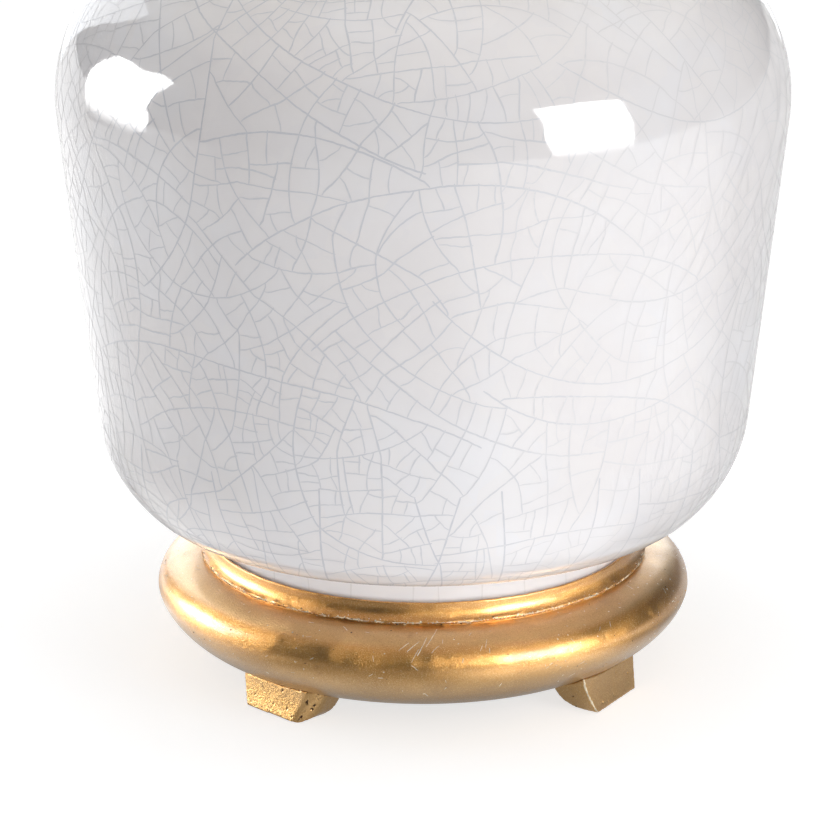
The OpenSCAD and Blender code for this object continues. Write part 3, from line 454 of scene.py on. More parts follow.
class Skin:
    """A turned face by its run along the profile, in millimetres."""

    def __init__(self, profile):
        p = np.array(dense(profile, 1.0))
        run = np.concatenate([[0], np.cumsum(np.hypot(*np.diff(p, axis=0).T))])
        self.end = float(run[-1])
        n = int(self.end / 0.25) + 1
        s = np.linspace(0, self.end, n)
        self.r, self.z = np.interp(s, run, p[:, 0]), np.interp(s, run, p[:, 1])
        self.dr, self.dz = np.gradient(self.r, s), np.gradient(self.z, s)
        self.k = (n - 1) / self.end

    def at(self, run):
        return min(len(self.r) - 1, max(0, int(run * self.k + 0.5)))

    def point(self, run, turn, lift):
        """The place, the outward normal, and the tangents round and up, in millimetres."""
        k = self.at(run)
        c, s = math.cos(turn), math.sin(turn)
        size = math.hypot(self.dr[k], self.dz[k]) or 1.0
        out, up = self.dz[k] / size, -self.dr[k] / size
        normal = np.array((out * c, out * s, up))
        around = np.array((-s, c, 0.0))
        place = np.array((self.r[k] * c, self.r[k] * s, self.z[k])) + normal * lift
        return place, normal, around, np.cross(normal, around)


# Runs along the jar's profile: the foot rim ends at the first and has few craze lines, and the
# arcs keep between the others
RIM_RUN, ARCS_FROM, ARCS_TO_END = 22.0, 25, 15


class Crackle:
    """Craze lines grown one after another: each runs until it meets an older one, close to square.
    The grid says which line a cell holds and which way that line goes there."""
    COLS, CELL, STEP, LONGEST = 1700, 0.5, 0.45, 90
    AHEAD, STEER, MOST_TURN = 2.4, 0.35, 0.16  # how far a line looks ahead, and how it turns to square
    CROSS_CHANCE, CLEAR_FIRST, CLEAR_CROSSED, OVERSHOOT = 0.7, 1.2, 2.0, 0.5
    BESIDE, ENDS, TIGHT_SHARE = 1.3, 5, 0.34

    def __init__(self, skin, seed):
        self.skin, self.rnd = skin, random.Random(seed)
        self.rows = int(skin.end / self.CELL) + 2
        self.taken = np.zeros((self.rows, self.COLS), np.int32)
        self.way = np.zeros((self.rows, self.COLS), np.float32)
        self.lines = []

    def cell(self, run, turn):
        return int(run / self.CELL), int(turn / TAU * self.COLS) % self.COLS

    def grow(self, run, turn, phi, ident, bend, wobble, crossings, reach, lowest):
        path, gone, free, drift = [(run, turn, phi)], 0.0, self.CLEAR_FIRST, 0.0
        while gone < self.LONGEST:
            if gone > reach:
                crossings = 0
            k = self.skin.at(run)
            r = self.skin.r[k]
            drift = drift * 0.9 + self.rnd.gauss(0, wobble)
            phi += (self.skin.dr[k] * math.cos(phi) / r + bend + drift) * self.STEP
            ahead = run + self.AHEAD * math.sin(phi)
            if 0 < ahead < self.skin.end:
                c = self.cell(ahead, turn + self.AHEAD * math.cos(phi) / r)
                if self.taken[c] and self.taken[c] != ident:
                    off = (self.way[c] + math.pi - phi) % math.pi - math.pi / 2
                    phi += max(-self.MOST_TURN, min(self.MOST_TURN, off * self.STEER))
            run += self.STEP * math.sin(phi)
            turn += self.STEP * math.cos(phi) / r
            gone += self.STEP
            free -= self.STEP
            if run <= lowest or run >= self.skin.end - 0.2:
                break
            path.append((run, turn, phi))
            c = self.cell(run, turn)
            if self.taken[c] and self.taken[c] != ident and free < 0:
                if crossings > 0 and self.rnd.random() < self.CROSS_CHANCE:
                    crossings -= 1
                    free = self.CLEAR_CROSSED
                else:
                    past = self.OVERSHOOT
                    path.append((run + past * math.sin(phi), turn + past * math.cos(phi) / r, phi))
                    break
        return path

    def add(self, run, turn, phi, rank, both=True, bend=0.0, wobble=0.0, crossings=0, reach=LONGEST,
            lowest=RIM_RUN):
        """Grows a line from a place, one way or both. Past its reach it crosses no more lines."""
        ident = len(self.lines) + 1
        path = self.grow(run, turn, phi, ident, bend, wobble, crossings, reach, lowest)
        if both:
            back = self.grow(run, turn, phi + math.pi, ident, -bend, wobble, crossings, reach, lowest)
            path = [(x, t, p - math.pi) for x, t, p in back[:0:-1]] + path
        if rank > 1 and self.crowded(path):
            return
        for run, turn, phi in path:
            i, j = self.cell(run, turn)
            for a in (min(i, self.rows - 1), min(i + 1, self.rows - 1)):
                for b in (j, (j + 1) % self.COLS):
                    self.taken[a, b] = ident
                    self.way[a, b] = phi
        self.lines.append((rank, path))

    def crowded(self, path):
        """Whether the path runs close beside an older line for much of its way."""
        inside = path[self.ENDS:-self.ENDS:3]
        tight = sum(not self.room(run, turn, self.BESIDE) for run, turn, _ in inside)
        return len(path) < 2 * self.ENDS or tight > self.TIGHT_SHARE * len(inside) + 0.5

    def room(self, run, turn, gap):
        """Whether no line lies within that gap."""
        dj = max(1, int(gap / self.skin.r[self.skin.at(run)] / TAU * self.COLS))
        di = max(1, int(gap / self.CELL))
        i, j = self.cell(run, turn)
        columns = np.arange(j - dj, j + dj + 1) % self.COLS
        return not self.taken[max(0, i - di):i + di + 1][:, columns].any()

    def clear_way(self, run, turn, phi, limit=30):
        gone = 0
        while gone < limit:
            r = self.skin.r[self.skin.at(run)]
            run += math.sin(phi)
            turn += math.cos(phi) / r
            gone += 1
            if run <= 0 or run >= self.skin.end or self.taken[self.cell(run, turn)]:
                break
        return gone

    def across(self, run, turn):
        """The direction in which the cell round this place is narrowest."""
        start = self.rnd.random() * 0.26
        ways = [start + n * math.pi / 9 for n in range(9)]
        return min(ways, key=lambda a: self.clear_way(run, turn, a) + self.clear_way(run, turn, a + math.pi))


def grow_crackle(skin):
    """Uprights from the foot rim, long arcs across them, then fills in ever smaller gaps. The net is
    denser in waves, and looser to the right."""
    c = Crackle(skin, seed=4)
    rnd = c.rnd
    uprights, arcs, tries, widest = 30, 110, 140000, 136

    def bow(least, most):
        return rnd.choice((-1, 1)) * rnd.uniform(least, most)
    for n in range(uprights):
        turn = (n + rnd.uniform(-0.3, 0.3)) / uprights * TAU
        c.add(0.3, turn, math.pi / 2 + rnd.uniform(-0.06, 0.06), 0, both=False, wobble=0.003, crossings=2,
              lowest=0.2)
    for n in range(arcs):
        run, turn = rnd.uniform(ARCS_FROM, skin.end - ARCS_TO_END), rnd.uniform(0, TAU)
        if c.room(run, turn, 5):
            phi = rnd.choice([0, 0, 0, 0.4, -0.4, 1.2, -1.2]) + rnd.uniform(-0.25, 0.25)
            c.add(run, turn, phi, 1, bend=bow(0.003, 0.014), wobble=0.002, crossings=2, reach=30)
    waves = [(rnd.uniform(0.6, 3.2), rnd.randint(1, 5), rnd.uniform(0, 6.3)) for _ in range(7)]
    for gap in (8, 6.4, 5.2, 4.2, 3.4, 2.8, 2.4, 2.0, 1.7):
        for _ in range(int(tries / gap ** 1.2)):
            run, turn = rnd.uniform(RIM_RUN + 1, skin.end - 0.5), rnd.uniform(0, TAU)
            if rnd.random() > skin.r[skin.at(run)] / widest or c.taken[c.cell(run, turn)]:
                continue
            wave = sum(math.sin(a * run / 40 + b * turn + p) for a, b, p in waves) / 3
            right = max(0.0, math.cos(turn + 0.4)) * 0.35
            if gap < 2.1 + right - 0.8 * max(-1, min(1, wave)) or not c.room(run, turn, gap):
                continue
            wide = gap > 3.6
            c.add(run, turn, c.across(run, turn) + rnd.uniform(-0.22, 0.22), 2 if wide else 3,
                  bend=bow(0.004, 0.026) if wide else bow(0.006, 0.045), wobble=0.003,
                  crossings=rnd.randint(0, 2) if wide else int(rnd.random() < 0.25), reach=20 if wide else 10)
    return c.lines


def ribbon(skin, path, width, lift, verts, faces, shape=None):
    """Adds a narrow band along a path of (run, turn, direction), with narrower ends, to the lists.
    Returns the count of its faces."""
    first, last = len(verts), len(path) - 1
    for n, (run, turn, phi) in enumerate(path):
        place, normal, around, up = skin.point(run, turn, lift)
        side = np.cross(normal, around * math.cos(phi) + up * math.sin(phi))
        half = width * 0.5 * (0.6 if n in (0, last) else 1.0) * (1 + 0.2 * math.sin(run * 0.7 + turn * 40))
        for end in (place - side * half, place + side * half):
            verts.append(tuple((bent(end, shape) if shape else end) * MM))
    faces += [(first + 2 * n, first + 2 * n + 1, first + 2 * n + 3, first + 2 * n + 2) for n in range(last)]
    return last


def ribbons_object(name, verts, faces):
    made = mesh_object(name, verts, faces, sharp=0)
    outward = made.data.polygons[0]
    if outward.normal.dot(Vector((outward.center.x, outward.center.y, 0))) < 0:
        made.data.flip_normals()
    return made


def make_crackle():
    """Each craze line is a narrow ribbon of ink just over the glaze. The inks are fainter for the
    later lines; on the right they are paler as painted light, at the far left as a painted reflection,
    and on the foot rim to go with its painted light."""
    skin = Skin(jar_outside(1.0))
    widths = (0.56, 0.54, 0.52, 0.48)
    verts, faces, inks = [], [], []
    rnd = random.Random(11)
    for rank, path in grow_crackle(skin):
        keep = path[::3] + ([path[-1]] if (len(path) - 1) % 3 else [])
        if len(keep) > 1:
            width = widths[rank] * rnd.uniform(0.85, 1.15)
            ribbon(skin, keep, width, 0.05 + 0.004 * rank, verts, faces)
            for run, turn, _ in keep[1:]:
                # Painted light: lighter inks on the lit right side, and a painted reflection that pales them
                # at the far left edge; the foot rim takes the palest ink, for its painted light.
                side = math.sin(turn + math.pi / 2)
                painted_light_fade = 3.4 * min(1.0, max(0.0, side / 0.5)) + 3.6 * min(1.0, max(0.0, (-side - 0.75) / 0.2))
                inks.append(6 if run < RIM_RUN else int(min(5, 0.8 * rank + painted_light_fade + rnd.uniform(0, 0.8))))
    craze = ribbons_object("jar_crackle", verts, faces)
    finish_piece(craze, "base", INKS)
    craze.data.polygons.foreach_set("material_index", inks)


# Stand and feet
def stand_shape(x, z, a):
    """Slight unevenness of carved and gessoed wood, and a crumbly lower edge of the groove."""
    co = (x * math.cos(a), x * math.sin(a), z)
    if z > UNDER_Z + 0.2 and x > RECESS_R + 1:
        soft = 0.22 * rumple(co, 22) + 0.05 * rumple(co, 4)
        groove = math.exp(-((z - GROOVE_Z - 1.0) / 0.9) ** 2 - ((x - GROOVE_R - 0.6) / 1.6) ** 2)
        crumb = 0.45 * rumple(co, 2.2, 4) * groove
        lip = 0.12 * rumple(co, 3.0) * math.exp(-((z - LIP_Z) / 1.2) ** 2)
        x += soft * 0.6 + crumb
        z += (crumb + lip + 0.3 * soft) if z > UNDER_Z + 2 else 0
    return x, z


def moulding():
    """The stand's outer profile from the edge of its rebate to the top of its lip."""
    low_h = BELLY_Z - UNDER_Z
    bow = 2 / LOW_BOW
    low = [(STAND_R - LOW_W + LOW_W * math.sin(a) ** bow, BELLY_Z - low_h * math.cos(a) ** bow)
           for a in (math.pi / 2 * i / 60 for i in range(61))]
    round_part = low + arc(GROOVE_R, BELLY_Z, STAND_R - GROOVE_R, 0, 90, 0.6, GROOVE_Z - BELLY_Z)
    line = np.array(dense(round_part, 0.8))
    for _ in range(12):
        line[1:-1] = (line[:-2] + 2 * line[1:-1] + line[2:]) / 4
    ridge = [(0.05, 0.25), (0.45, 0.6), (0.8, 0.95), (0.85, 1.25), (0.65, 1.6)]
    cove_w, cove_h, cove_top = 5.63, 5.98, LIP_Z - LIP_T
    return ([(REBATE_R, UNDER_Z)] + [tuple(p) for p in line]
            + [(GROOVE_R + x, GROOVE_Z + z) for x, z in ridge]
            + arc(LIP_IN_R + LIP_T + cove_w, cove_top, cove_w, 235, 180, 0.4, cove_h)
            + arc(LIP_IN_R + LIP_T / 2, LIP_Z - LIP_T / 2, LIP_T / 2, 0, 180, 0.25))


def make_stand():
    profile = dense(moulding(), 1.0)
    profile += [(LIP_IN_R, GROOVE_Z), (PIPE_HOLE_R, GROOVE_Z), (PIPE_HOLE_R, WEB_Z), (RECESS_R, WEB_Z),
                (RECESS_R, UNDER_Z + REBATE_D), (REBATE_R, UNDER_Z + REBATE_D)]
    stand = lathe("stand_leafed", profile, 480, shape=stand_shape, sharp=50)
    for r, y0, y1 in ((4.8, 30, 120), (6.6, BUSHING_Y, 120)):
        cut_hole(stand, r, y0, y1, 21.7)
    finish_piece(stand, "base", GOLD, ["stand"])


# Scratches through the leaf: azimuth from the front in degrees, run down from the groove in
# millimetres, length in millimetres and slant in degrees
SCRATCHES = [(0.6, 13.0, 11.0, 58), (-1.2, 16.5, 9.0, 62), (-3.4, 15.0, 7.0, 48), (-5.2, 14.5, 5.5, 40),
             (-2.4, 19.0, 6.5, 66), (1.8, 15.5, 5.0, 55), (13.4, 14.5, 4.6, 72), (12.2, 15.5, 3.2, 64),
             (14.1, 16.5, 2.6, 80), (27.0, 24.0, 2.4, 20), (28.4, 24.6, 1.8, -15), (26.2, 25.4, 2.0, 35),
             (34.5, 27.0, 3.0, 12), (36.0, 27.6, 2.2, -8), (-44.0, 9.0, 1.6, 70), (-61.0, 6.0, 1.8, 64),
             (41.0, 6.5, 1.5, 50), (58.0, 9.0, 1.7, 66), (-24.0, 21.0, 2.0, 30)]


def moulding_skin():
    """The moulding as a turned face, and the run along it at which the groove is."""
    skin = Skin(moulding())
    return skin, float(np.argmin(np.hypot(skin.r - GROOVE_R, skin.z - GROOVE_Z))) / skin.k


def make_scratches():
    """Fine scratches where the photograph shows them, and others strewn round the moulding."""
    rnd = random.Random(23)
    skin, start = moulding_skin()
    verts, faces = [], []
    strewn = [(rnd.uniform(-180, 180), rnd.uniform(3, 34), rnd.uniform(0.8, 4.5), rnd.uniform(-80, 80))
              for _ in range(110)]
    for azimuth, down, length, slant in SCRATCHES + strewn:
        turn, phi, path = math.radians(azimuth - 90), math.radians(slant), []
        bend = rnd.uniform(-0.03, 0.03)
        for n in range(max(3, int(length / 0.5))):
            path.append((start - down + 0.5 * n * math.sin(phi), turn, phi))
            turn += 0.5 * math.cos(phi) / STAND_R
            phi += bend
        ribbon(skin, path, rnd.uniform(0.16, 0.3), 0.02, verts, faces, stand_shape)
    finish_piece(ribbons_object("stand_scratches", verts, faces), "base", WORN_AND_HIGHLIGHT)


def make_crumbs():
    """Crumbs of leaf along the ridge over the groove, and blisters strewn over the moulding."""
    rnd = random.Random(31)
    skin, start = moulding_skin()
    verts, faces, kinds, ridge_r = [], [], [], 85
    places = [(start + abs(rnd.gauss(1.3, 0.6)), rnd.uniform(0, TAU), rnd.uniform(0.18, 0.5))
              for _ in range(1300)]
    places += [(start - rnd.uniform(2, 36), rnd.uniform(0, TAU), rnd.uniform(0.15, 0.4))
               for _ in range(260)]
    places += [(start - 21 + rnd.gauss(0, 4), math.radians(-90 + azimuth) + rnd.gauss(0, 0.03),
                rnd.uniform(0.15, 0.35)) for azimuth in (-58, -27, 33, 60, 71) for _ in range(12)]
    for run, turn, size in places:
        first, kind = len(verts), rnd.choice((0, 0, 1, 1, 1, 2))
        spin, sides = rnd.uniform(0, TAU), rnd.randint(5, 7)
        ring = [(rnd.gauss(0, 0.3) * size, rnd.gauss(0, 0.3) * size, rnd.uniform(0.3, 0.9) * size)]
        for n in range(sides):
            a, out = spin + TAU * n / sides, size * rnd.uniform(0.6, 1.3)
            ring.append((out * math.sin(a), out * math.cos(a), -0.03))
        for up, along, lift in ring:
            end = skin.point(run + up, turn + along / ridge_r, lift)[0]
            verts.append(tuple(bent(end, stand_shape) * MM))
        faces += [(first, first + 1 + (n + 1) % sides, first + 1 + n) for n in range(sides)]
        kinds += [kind] * sides
    turn, step = 0.0, 0.011
    while turn < TAU:
        steps = rnd.randint(4, 16)
        path = [(start + 1.45 + rnd.gauss(0, 0.1), turn + step * n, 0.0) for n in range(steps)]
        kinds += [1] * ribbon(skin, path, rnd.uniform(0.2, 0.5), 0.04, verts, faces, stand_shape)
        turn += step * (steps + rnd.randint(0, 6))
    made = ribbons_object("stand_crumbs", verts, faces)
    finish_piece(made, "base", [GOLD, WORN_AND_HIGHLIGHT, CHIP])
    made.data.polygons.foreach_set("material_index", kinds)


def cut_hole(obj, r, y0, y1, z):
    bm = bmesh.new()
    bmesh.ops.create_cone(bm, cap_ends=True, segments=48, radius1=r * MM, radius2=r * MM,
                          depth=(y1 - y0) * MM)
    mesh = bpy.data.meshes.new("cutter")
    bm.to_mesh(mesh)
    bm.free()
    cutter = bpy.data.objects.new("cutter", mesh)
    bpy.context.scene.collection.objects.link(cutter)
    cutter.rotation_euler = (math.pi / 2, 0, 0)
    cutter.location = (0, (y0 + y1) / 2 * MM, z * MM)
    cut = obj.modifiers.new("cut", "BOOLEAN")
    cut.object, cut.operation, cut.solver = cutter, "DIFFERENCE", "EXACT"
    apply_modifiers(obj)
    bpy.data.objects.remove(cutter)
    bpy.data.meshes.remove(mesh)


def apply_modifiers(obj):
    bpy.context.view_layer.update()
    shaped = obj.evaluated_get(bpy.context.evaluated_depsgraph_get())
    mesh = bpy.data.meshes.new_from_object(shaped)
    old, obj.data = obj.data, mesh
    obj.modifiers.clear()
    bpy.data.meshes.remove(old)


def foot_frame(node, co):
    """Foot's own places of points: across it, outward from the axis, and up, in millimetres."""
    turn, twist, shift = FOOT_SETS[node]
    a, b = math.radians(turn), math.radians(twist)
    x, y = co[:, 0] / MM, co[:, 1] / MM
    x, y = x * math.cos(a) + y * math.sin(a), -x * math.sin(a) + y * math.cos(a) + FOOT_MIDDLE
    x, y = x * math.cos(b) + y * math.sin(b), -x * math.sin(b) + y * math.cos(b) - FOOT_MIDDLE + shift
    return np.stack([x, -y, co[:, 2] / MM], -1)


def foot_place(node, own):
    """The way back from foot_frame."""
    turn, twist, shift = FOOT_SETS[node]
    a, b = math.radians(turn), math.radians(twist)
    x, y = own[:, 0], -own[:, 1] + FOOT_MIDDLE - shift
    x, y = x * math.cos(b) - y * math.sin(b), x * math.sin(b) + y * math.cos(b) - FOOT_MIDDLE
    x, y = x * math.cos(a) - y * math.sin(a), x * math.sin(a) + y * math.cos(a)
    return np.stack([x, y, own[:, 2]], -1) * MM


FOOT_VOXEL, LOW_CORNER = 0.45, 0.55
CHIP_LEVEL, CHIP_SIZE, CORNER_REACH, DEEPEST_CHIP = 0.68, 1.5, 4.2, 0.9


def make_foot(node, rounding, worn_lit_edge):
    """The CAD foot remeshed finely. rounding is the radius of its +x front edge and of the corner
    below. The last argument puts a bright line along the other front edge: rubbed leaf, and a painted
    highlight of that edge."""
    mesh = NODES[node].data.copy()
    foot = bpy.data.objects.new(node + "_leafed", mesh)
    bpy.context.scene.collection.objects.link(foot)
    bm = bmesh.new()
    bm.from_mesh(mesh)
    bmesh.ops.remove_doubles(bm, verts=bm.verts, dist=1e-6)
    bm.to_mesh(mesh)
    bm.free()
    remesh = foot.modifiers.new("remesh", "REMESH")
    remesh.mode, remesh.voxel_size = "VOXEL", FOOT_VOXEL * MM
    smooth = foot.modifiers.new("smooth", "SMOOTH")
    smooth.factor, smooth.iterations = 0.5, 3
    apply_modifiers(foot)
    me = foot.data
    count = len(me.vertices)
    co, normal = np.empty(count * 3), np.empty(count * 3)
    me.vertices.foreach_get("co", co)
    me.vertices.foreach_get("normal", normal)
    co, normal = co.reshape(-1, 3), normal.reshape(-1, 3)
    own = foot_frame(node, co)
    sweep = np.clip(1 - own[:, 2] / FOOT_TOP, 0, 1) ** FOOT_SWEEP
    face = FOOT_OUT - FOOT_KICK + FOOT_KICK * sweep
    side = FOOT_HALF + FOOT_SPREAD - FOOT_SPREAD * sweep
    for axis, r, way in ((1, rounding, -1), (2, rounding * LOW_CORNER, 1)):
        inward = face - own[:, 1] if axis == 1 else own[:, 2]
        u, v = r - (side - own[:, 0]), r - inward
        far = np.hypot(u, v)
        cut = (u > 0) & (v > 0) & (far > r)
        own[cut, 0] -= (u * (1 - r / far))[cut]
        own[cut, axis] += ((v * (1 - r / far)) * way)[cut]
    co = foot_place(node, own)
    chipped, rubbed = np.zeros(count), np.zeros(count)
    for i in range(count):
        x, y, z = own[i]
        p = co[i] / MM
        keep = min(1.0, max(0.0, (z - 0.3) / 1.2))
        corner = (math.exp(-((side[i] - x) / CORNER_REACH) ** 2 - ((face[i] - y) / CORNER_REACH) ** 2)
                  if rounding > 2 else 0)
        low = math.exp(-(z / 1.6) ** 2)
        bite = max(0.0, rumple(p, CHIP_SIZE, 3) - CHIP_LEVEL + 0.55 * corner + 0.24 * low)
        chipped[i] = bite
        # Painted highlight and wear: a bright line along the other front edge, in the pale leaf colour.
        left_edge = math.hypot(x + side[i], face[i] - y)
        rubbed[i] = 1.0 if worn_lit_edge and left_edge < 0.62 + 0.25 * rumple(p, 3) else 0.0
        sideways = abs(x) > side[i] - 1.2
        slanted = Vector((x, y * 1.1 + 0.5 * z, 1.5 * z - 0.7 * y))
        grain = (0.10 if sideways else 0.012) * noise.noise(slanted * 0.9)
        co[i] += normal[i] * (0.07 * rumple(p, 8) + grain - min(DEEPEST_CHIP, bite * 2.6)) * MM * keep
    co[:, 2] = np.maximum(co[:, 2], 0.0)
    me.vertices.foreach_set("co", co.ravel())
    me.update()
    me.shade_smooth()
    finish_piece(foot, "base", [FOOT_GOLD, CHIP, WORN_AND_HIGHLIGHT], [node])
    index = np.zeros(len(me.polygons), np.int32)
    for n, polygon in enumerate(me.polygons):
        corners = list(polygon.vertices)
        if chipped[corners].mean() > 0.10:
            index[n] = 1
        elif rubbed[corners].mean() > 0.5:
            index[n] = 2
    me.polygons.foreach_set("material_index", index)


# Shade
SHADE_Z0, SHADE_Z1, SHADE_R0, SHADE_R1, SHADE_MIDDLE_R = 346.51, 614.51, 203.0, 178.0, 190
COVER_T, BACKING_T, TRIM_T, TRIM_W, GLUE = 0.8, 0.8, 0.6, 9.0, 0.05


def shade_at(z):
    return SHADE_R0 + (SHADE_R1 - SHADE_R0) * (z - SHADE_Z0) / (SHADE_Z1 - SHADE_Z0)


def shade_band(name, outline, segments=256, shape=None):
    """A band turned from an outline of (r, z), with a map in metres round and up."""
    verts, faces, uvs, n = [], [], [], len(outline)
    for s in range(segments):
        a = TAU * s / segments
        for r, z in outline:
            if shape:
                r, z = shape(r, z, a)
            verts.append((r * math.cos(a) * MM, r * math.sin(a) * MM, z * MM))
    sides = [math.dist(outline[i], outline[(i + 1) % n]) for i in range(n)]
    ups = np.concatenate([[0], np.cumsum(sides)]) * MM
    for s in range(segments):
        u0, u1 = (TAU * SHADE_MIDDLE_R * MM * x / segments for x in (s, s + 1))
        for i in range(n):
            faces.append(quad(s, i, n, segments))
            uvs += [(u0, ups[i]), (u1, ups[i]), (u1, ups[i + 1]), (u0, ups[i + 1])]
    obj = mesh_object(name, verts, faces, sharp=40, uvs=uvs)
    if sum((Vector((f.center.x, f.center.y, 0)).dot(f.normal) * f.area) for f in obj.data.polygons) < 0:
        obj.data.flip_normals()
    return obj


def make_shade():
    rows = [SHADE_Z0 + (SHADE_Z1 - SHADE_Z0) * i / 24 for i in range(25)]
    outline = [(shade_at(z), z) for z in rows] + [(shade_at(z) - COVER_T, z) for z in reversed(rows)]

    def lapped(r, z, a):
        """The cover laps over itself in one upright seam at the back."""
        off, before, after = (a - math.pi / 2) * SHADE_MIDDLE_R, 6, 12
        if not -before < off < after or r <= shade_at(z) - COVER_T / 2:
            return r, z
        step = 0.35 * min(1.0, (off + before) * 2) * (1 - max(0.0, off) / after)
        return r + step * 0.5 - 0.1, z
    cover = shade_band("shade_linen", outline, 384, lapped)
    finish_piece(cover, "shade", LINEN, ["shade_cover"])
    for name, edge, way in (("shade_top_trim", SHADE_Z1, 1), ("shade_bottom_trim", SHADE_Z0, -1)):
        wall = COVER_T + GLUE + BACKING_T
        out = TRIM_T + GLUE
        low = edge - way * TRIM_W
        foot, top, bend = shade_at(low), shade_at(edge), 0.3
        fold = [(top + out - bend + bend * math.cos(t), edge + way * (TRIM_T - bend + bend * math.sin(t)))
                for t in (0, math.pi / 6, math.pi / 3, math.pi / 2)]
        band = ([(foot + GLUE, low), (foot + out - bend / 2, low), (foot + out, low + way * bend)]
                + [(shade_at(z) + out, z) for z in (low + way * 3, low + way * 6)] + fold
                + [(top - wall, edge + way * TRIM_T), (top - wall, edge), (top + GLUE, edge)])
        finish_piece(shade_band(name + "_folded", band, 256), "shade", LINEN, [name])


# Lamp bulb's screw cap with a rolled thread
def make_bulb_cap():
    r, z0, z1, pitch = 13.0, 391.09, 414.09, 3.6
    lines = ([(9.0, z0)] + arc(r - 1, z0 + 3, 1, -90, 0, 0.3)
             + [(r, z) for z in np.arange(z0 + 3.4, z1, 0.3)] + [(r, z1)])
    inner = [(r - 0.6, z1), (r - 0.6, z0 + 3), (9.0, z0 + 1.2)]

    def thread(x, z, a):
        if x > r - 0.3 and z0 + 4 < z < z1 - 2.5:
            fade = min(1.0, (z - z0 - 4) / 2, (z1 - 2.5 - z) / 2)
            x -= 0.45 * fade * (0.5 - 0.5 * math.cos(TAU * z / pitch - a))
        return x, z
    cap = lathe("bulb_screw_cap_rolled", lines + inner, 96, shape=thread, sharp=60)
    finish_piece(cap, "bulb", CAP_METAL, ["bulb_screw_cap"])


# CAD nodes that stay get the material of their slot
def dress_cad_nodes():
    slots = {s["node"]: s["material_slot"] for s in frame["record"]["subparts"]}
    for name, obj in NODES.items():
        if obj.hide_render:
            continue
        obj.data.materials.clear()
        obj.data.materials.append(PAD_FELT if name == "jar_gasket" else BY_SLOT[slots[name]])


# Floor, light and camera
FLOOR_GLOW, ROOM_LIGHT, ROOM_DIM, ROOM_TOP = 0.70, 0.36, 0.10, 0.85
# Directions towards the lamps and of the cores of the painted pools of light that gloss sees on the floor
LEFT_LAMP, RIGHT_LAMP = (-0.927, 0.375, 0), (0.82, -0.57, 0)
LEFT_CORE, RIGHT_CORE = (-0.978, -0.208, 0), (0.588, -0.809, 0)

# Corners of the reflectors, in metres, where the photograph's reflections put them
LEFT_BOX = [
    (-1.13, 0.76, 0.22), (-1.15, 0.73, 0.35), (-1.20, 0.53, 0.60), (-1.25, 0.38, 0.66),
    (-1.28, 0.22, 0.68), (-1.28, 0.06, 0.75), (-1.29, -0.10, 0.75), (-1.35, -0.02, 0.56),
    (-1.38, 0.01, 0.41), (-1.39, -0.03, 0.27), (-1.39, -0.01, 0.15), (-1.37, 0.14, 0.07),
    (-1.31, 0.39, 0.04), (-1.16, 0.68, 0.01)]
RIGHT_BOX = [
    (0.72, -1.02, 0.90), (0.96, -0.81, 0.88), (1.16, -0.56, 0.79), (1.25, -0.59, 0.51),
    (1.26, -0.63, 0.15), (1.07, -0.94, 0.19), (0.87, -1.13, 0.24), (0.82, -1.14, 0.48), (0.80, -1.08, 0.68)]
REAR_WALL = [
    (-0.58, 1.18, 0.02), (-0.68, 1.15, 0.12), (-0.81, 1.07, 0.28), (-0.91, 0.97, 0.44),
    (-1.00, 0.79, 0.67), (-1.00, 0.68, 0.84), (-0.88, 0.61, 1.04), (-0.74, 0.59, 1.17),
    (-0.30, 1.10, 1.35), (0.55, 1.25, 0.90), (0.55, 1.35, 0.02)]


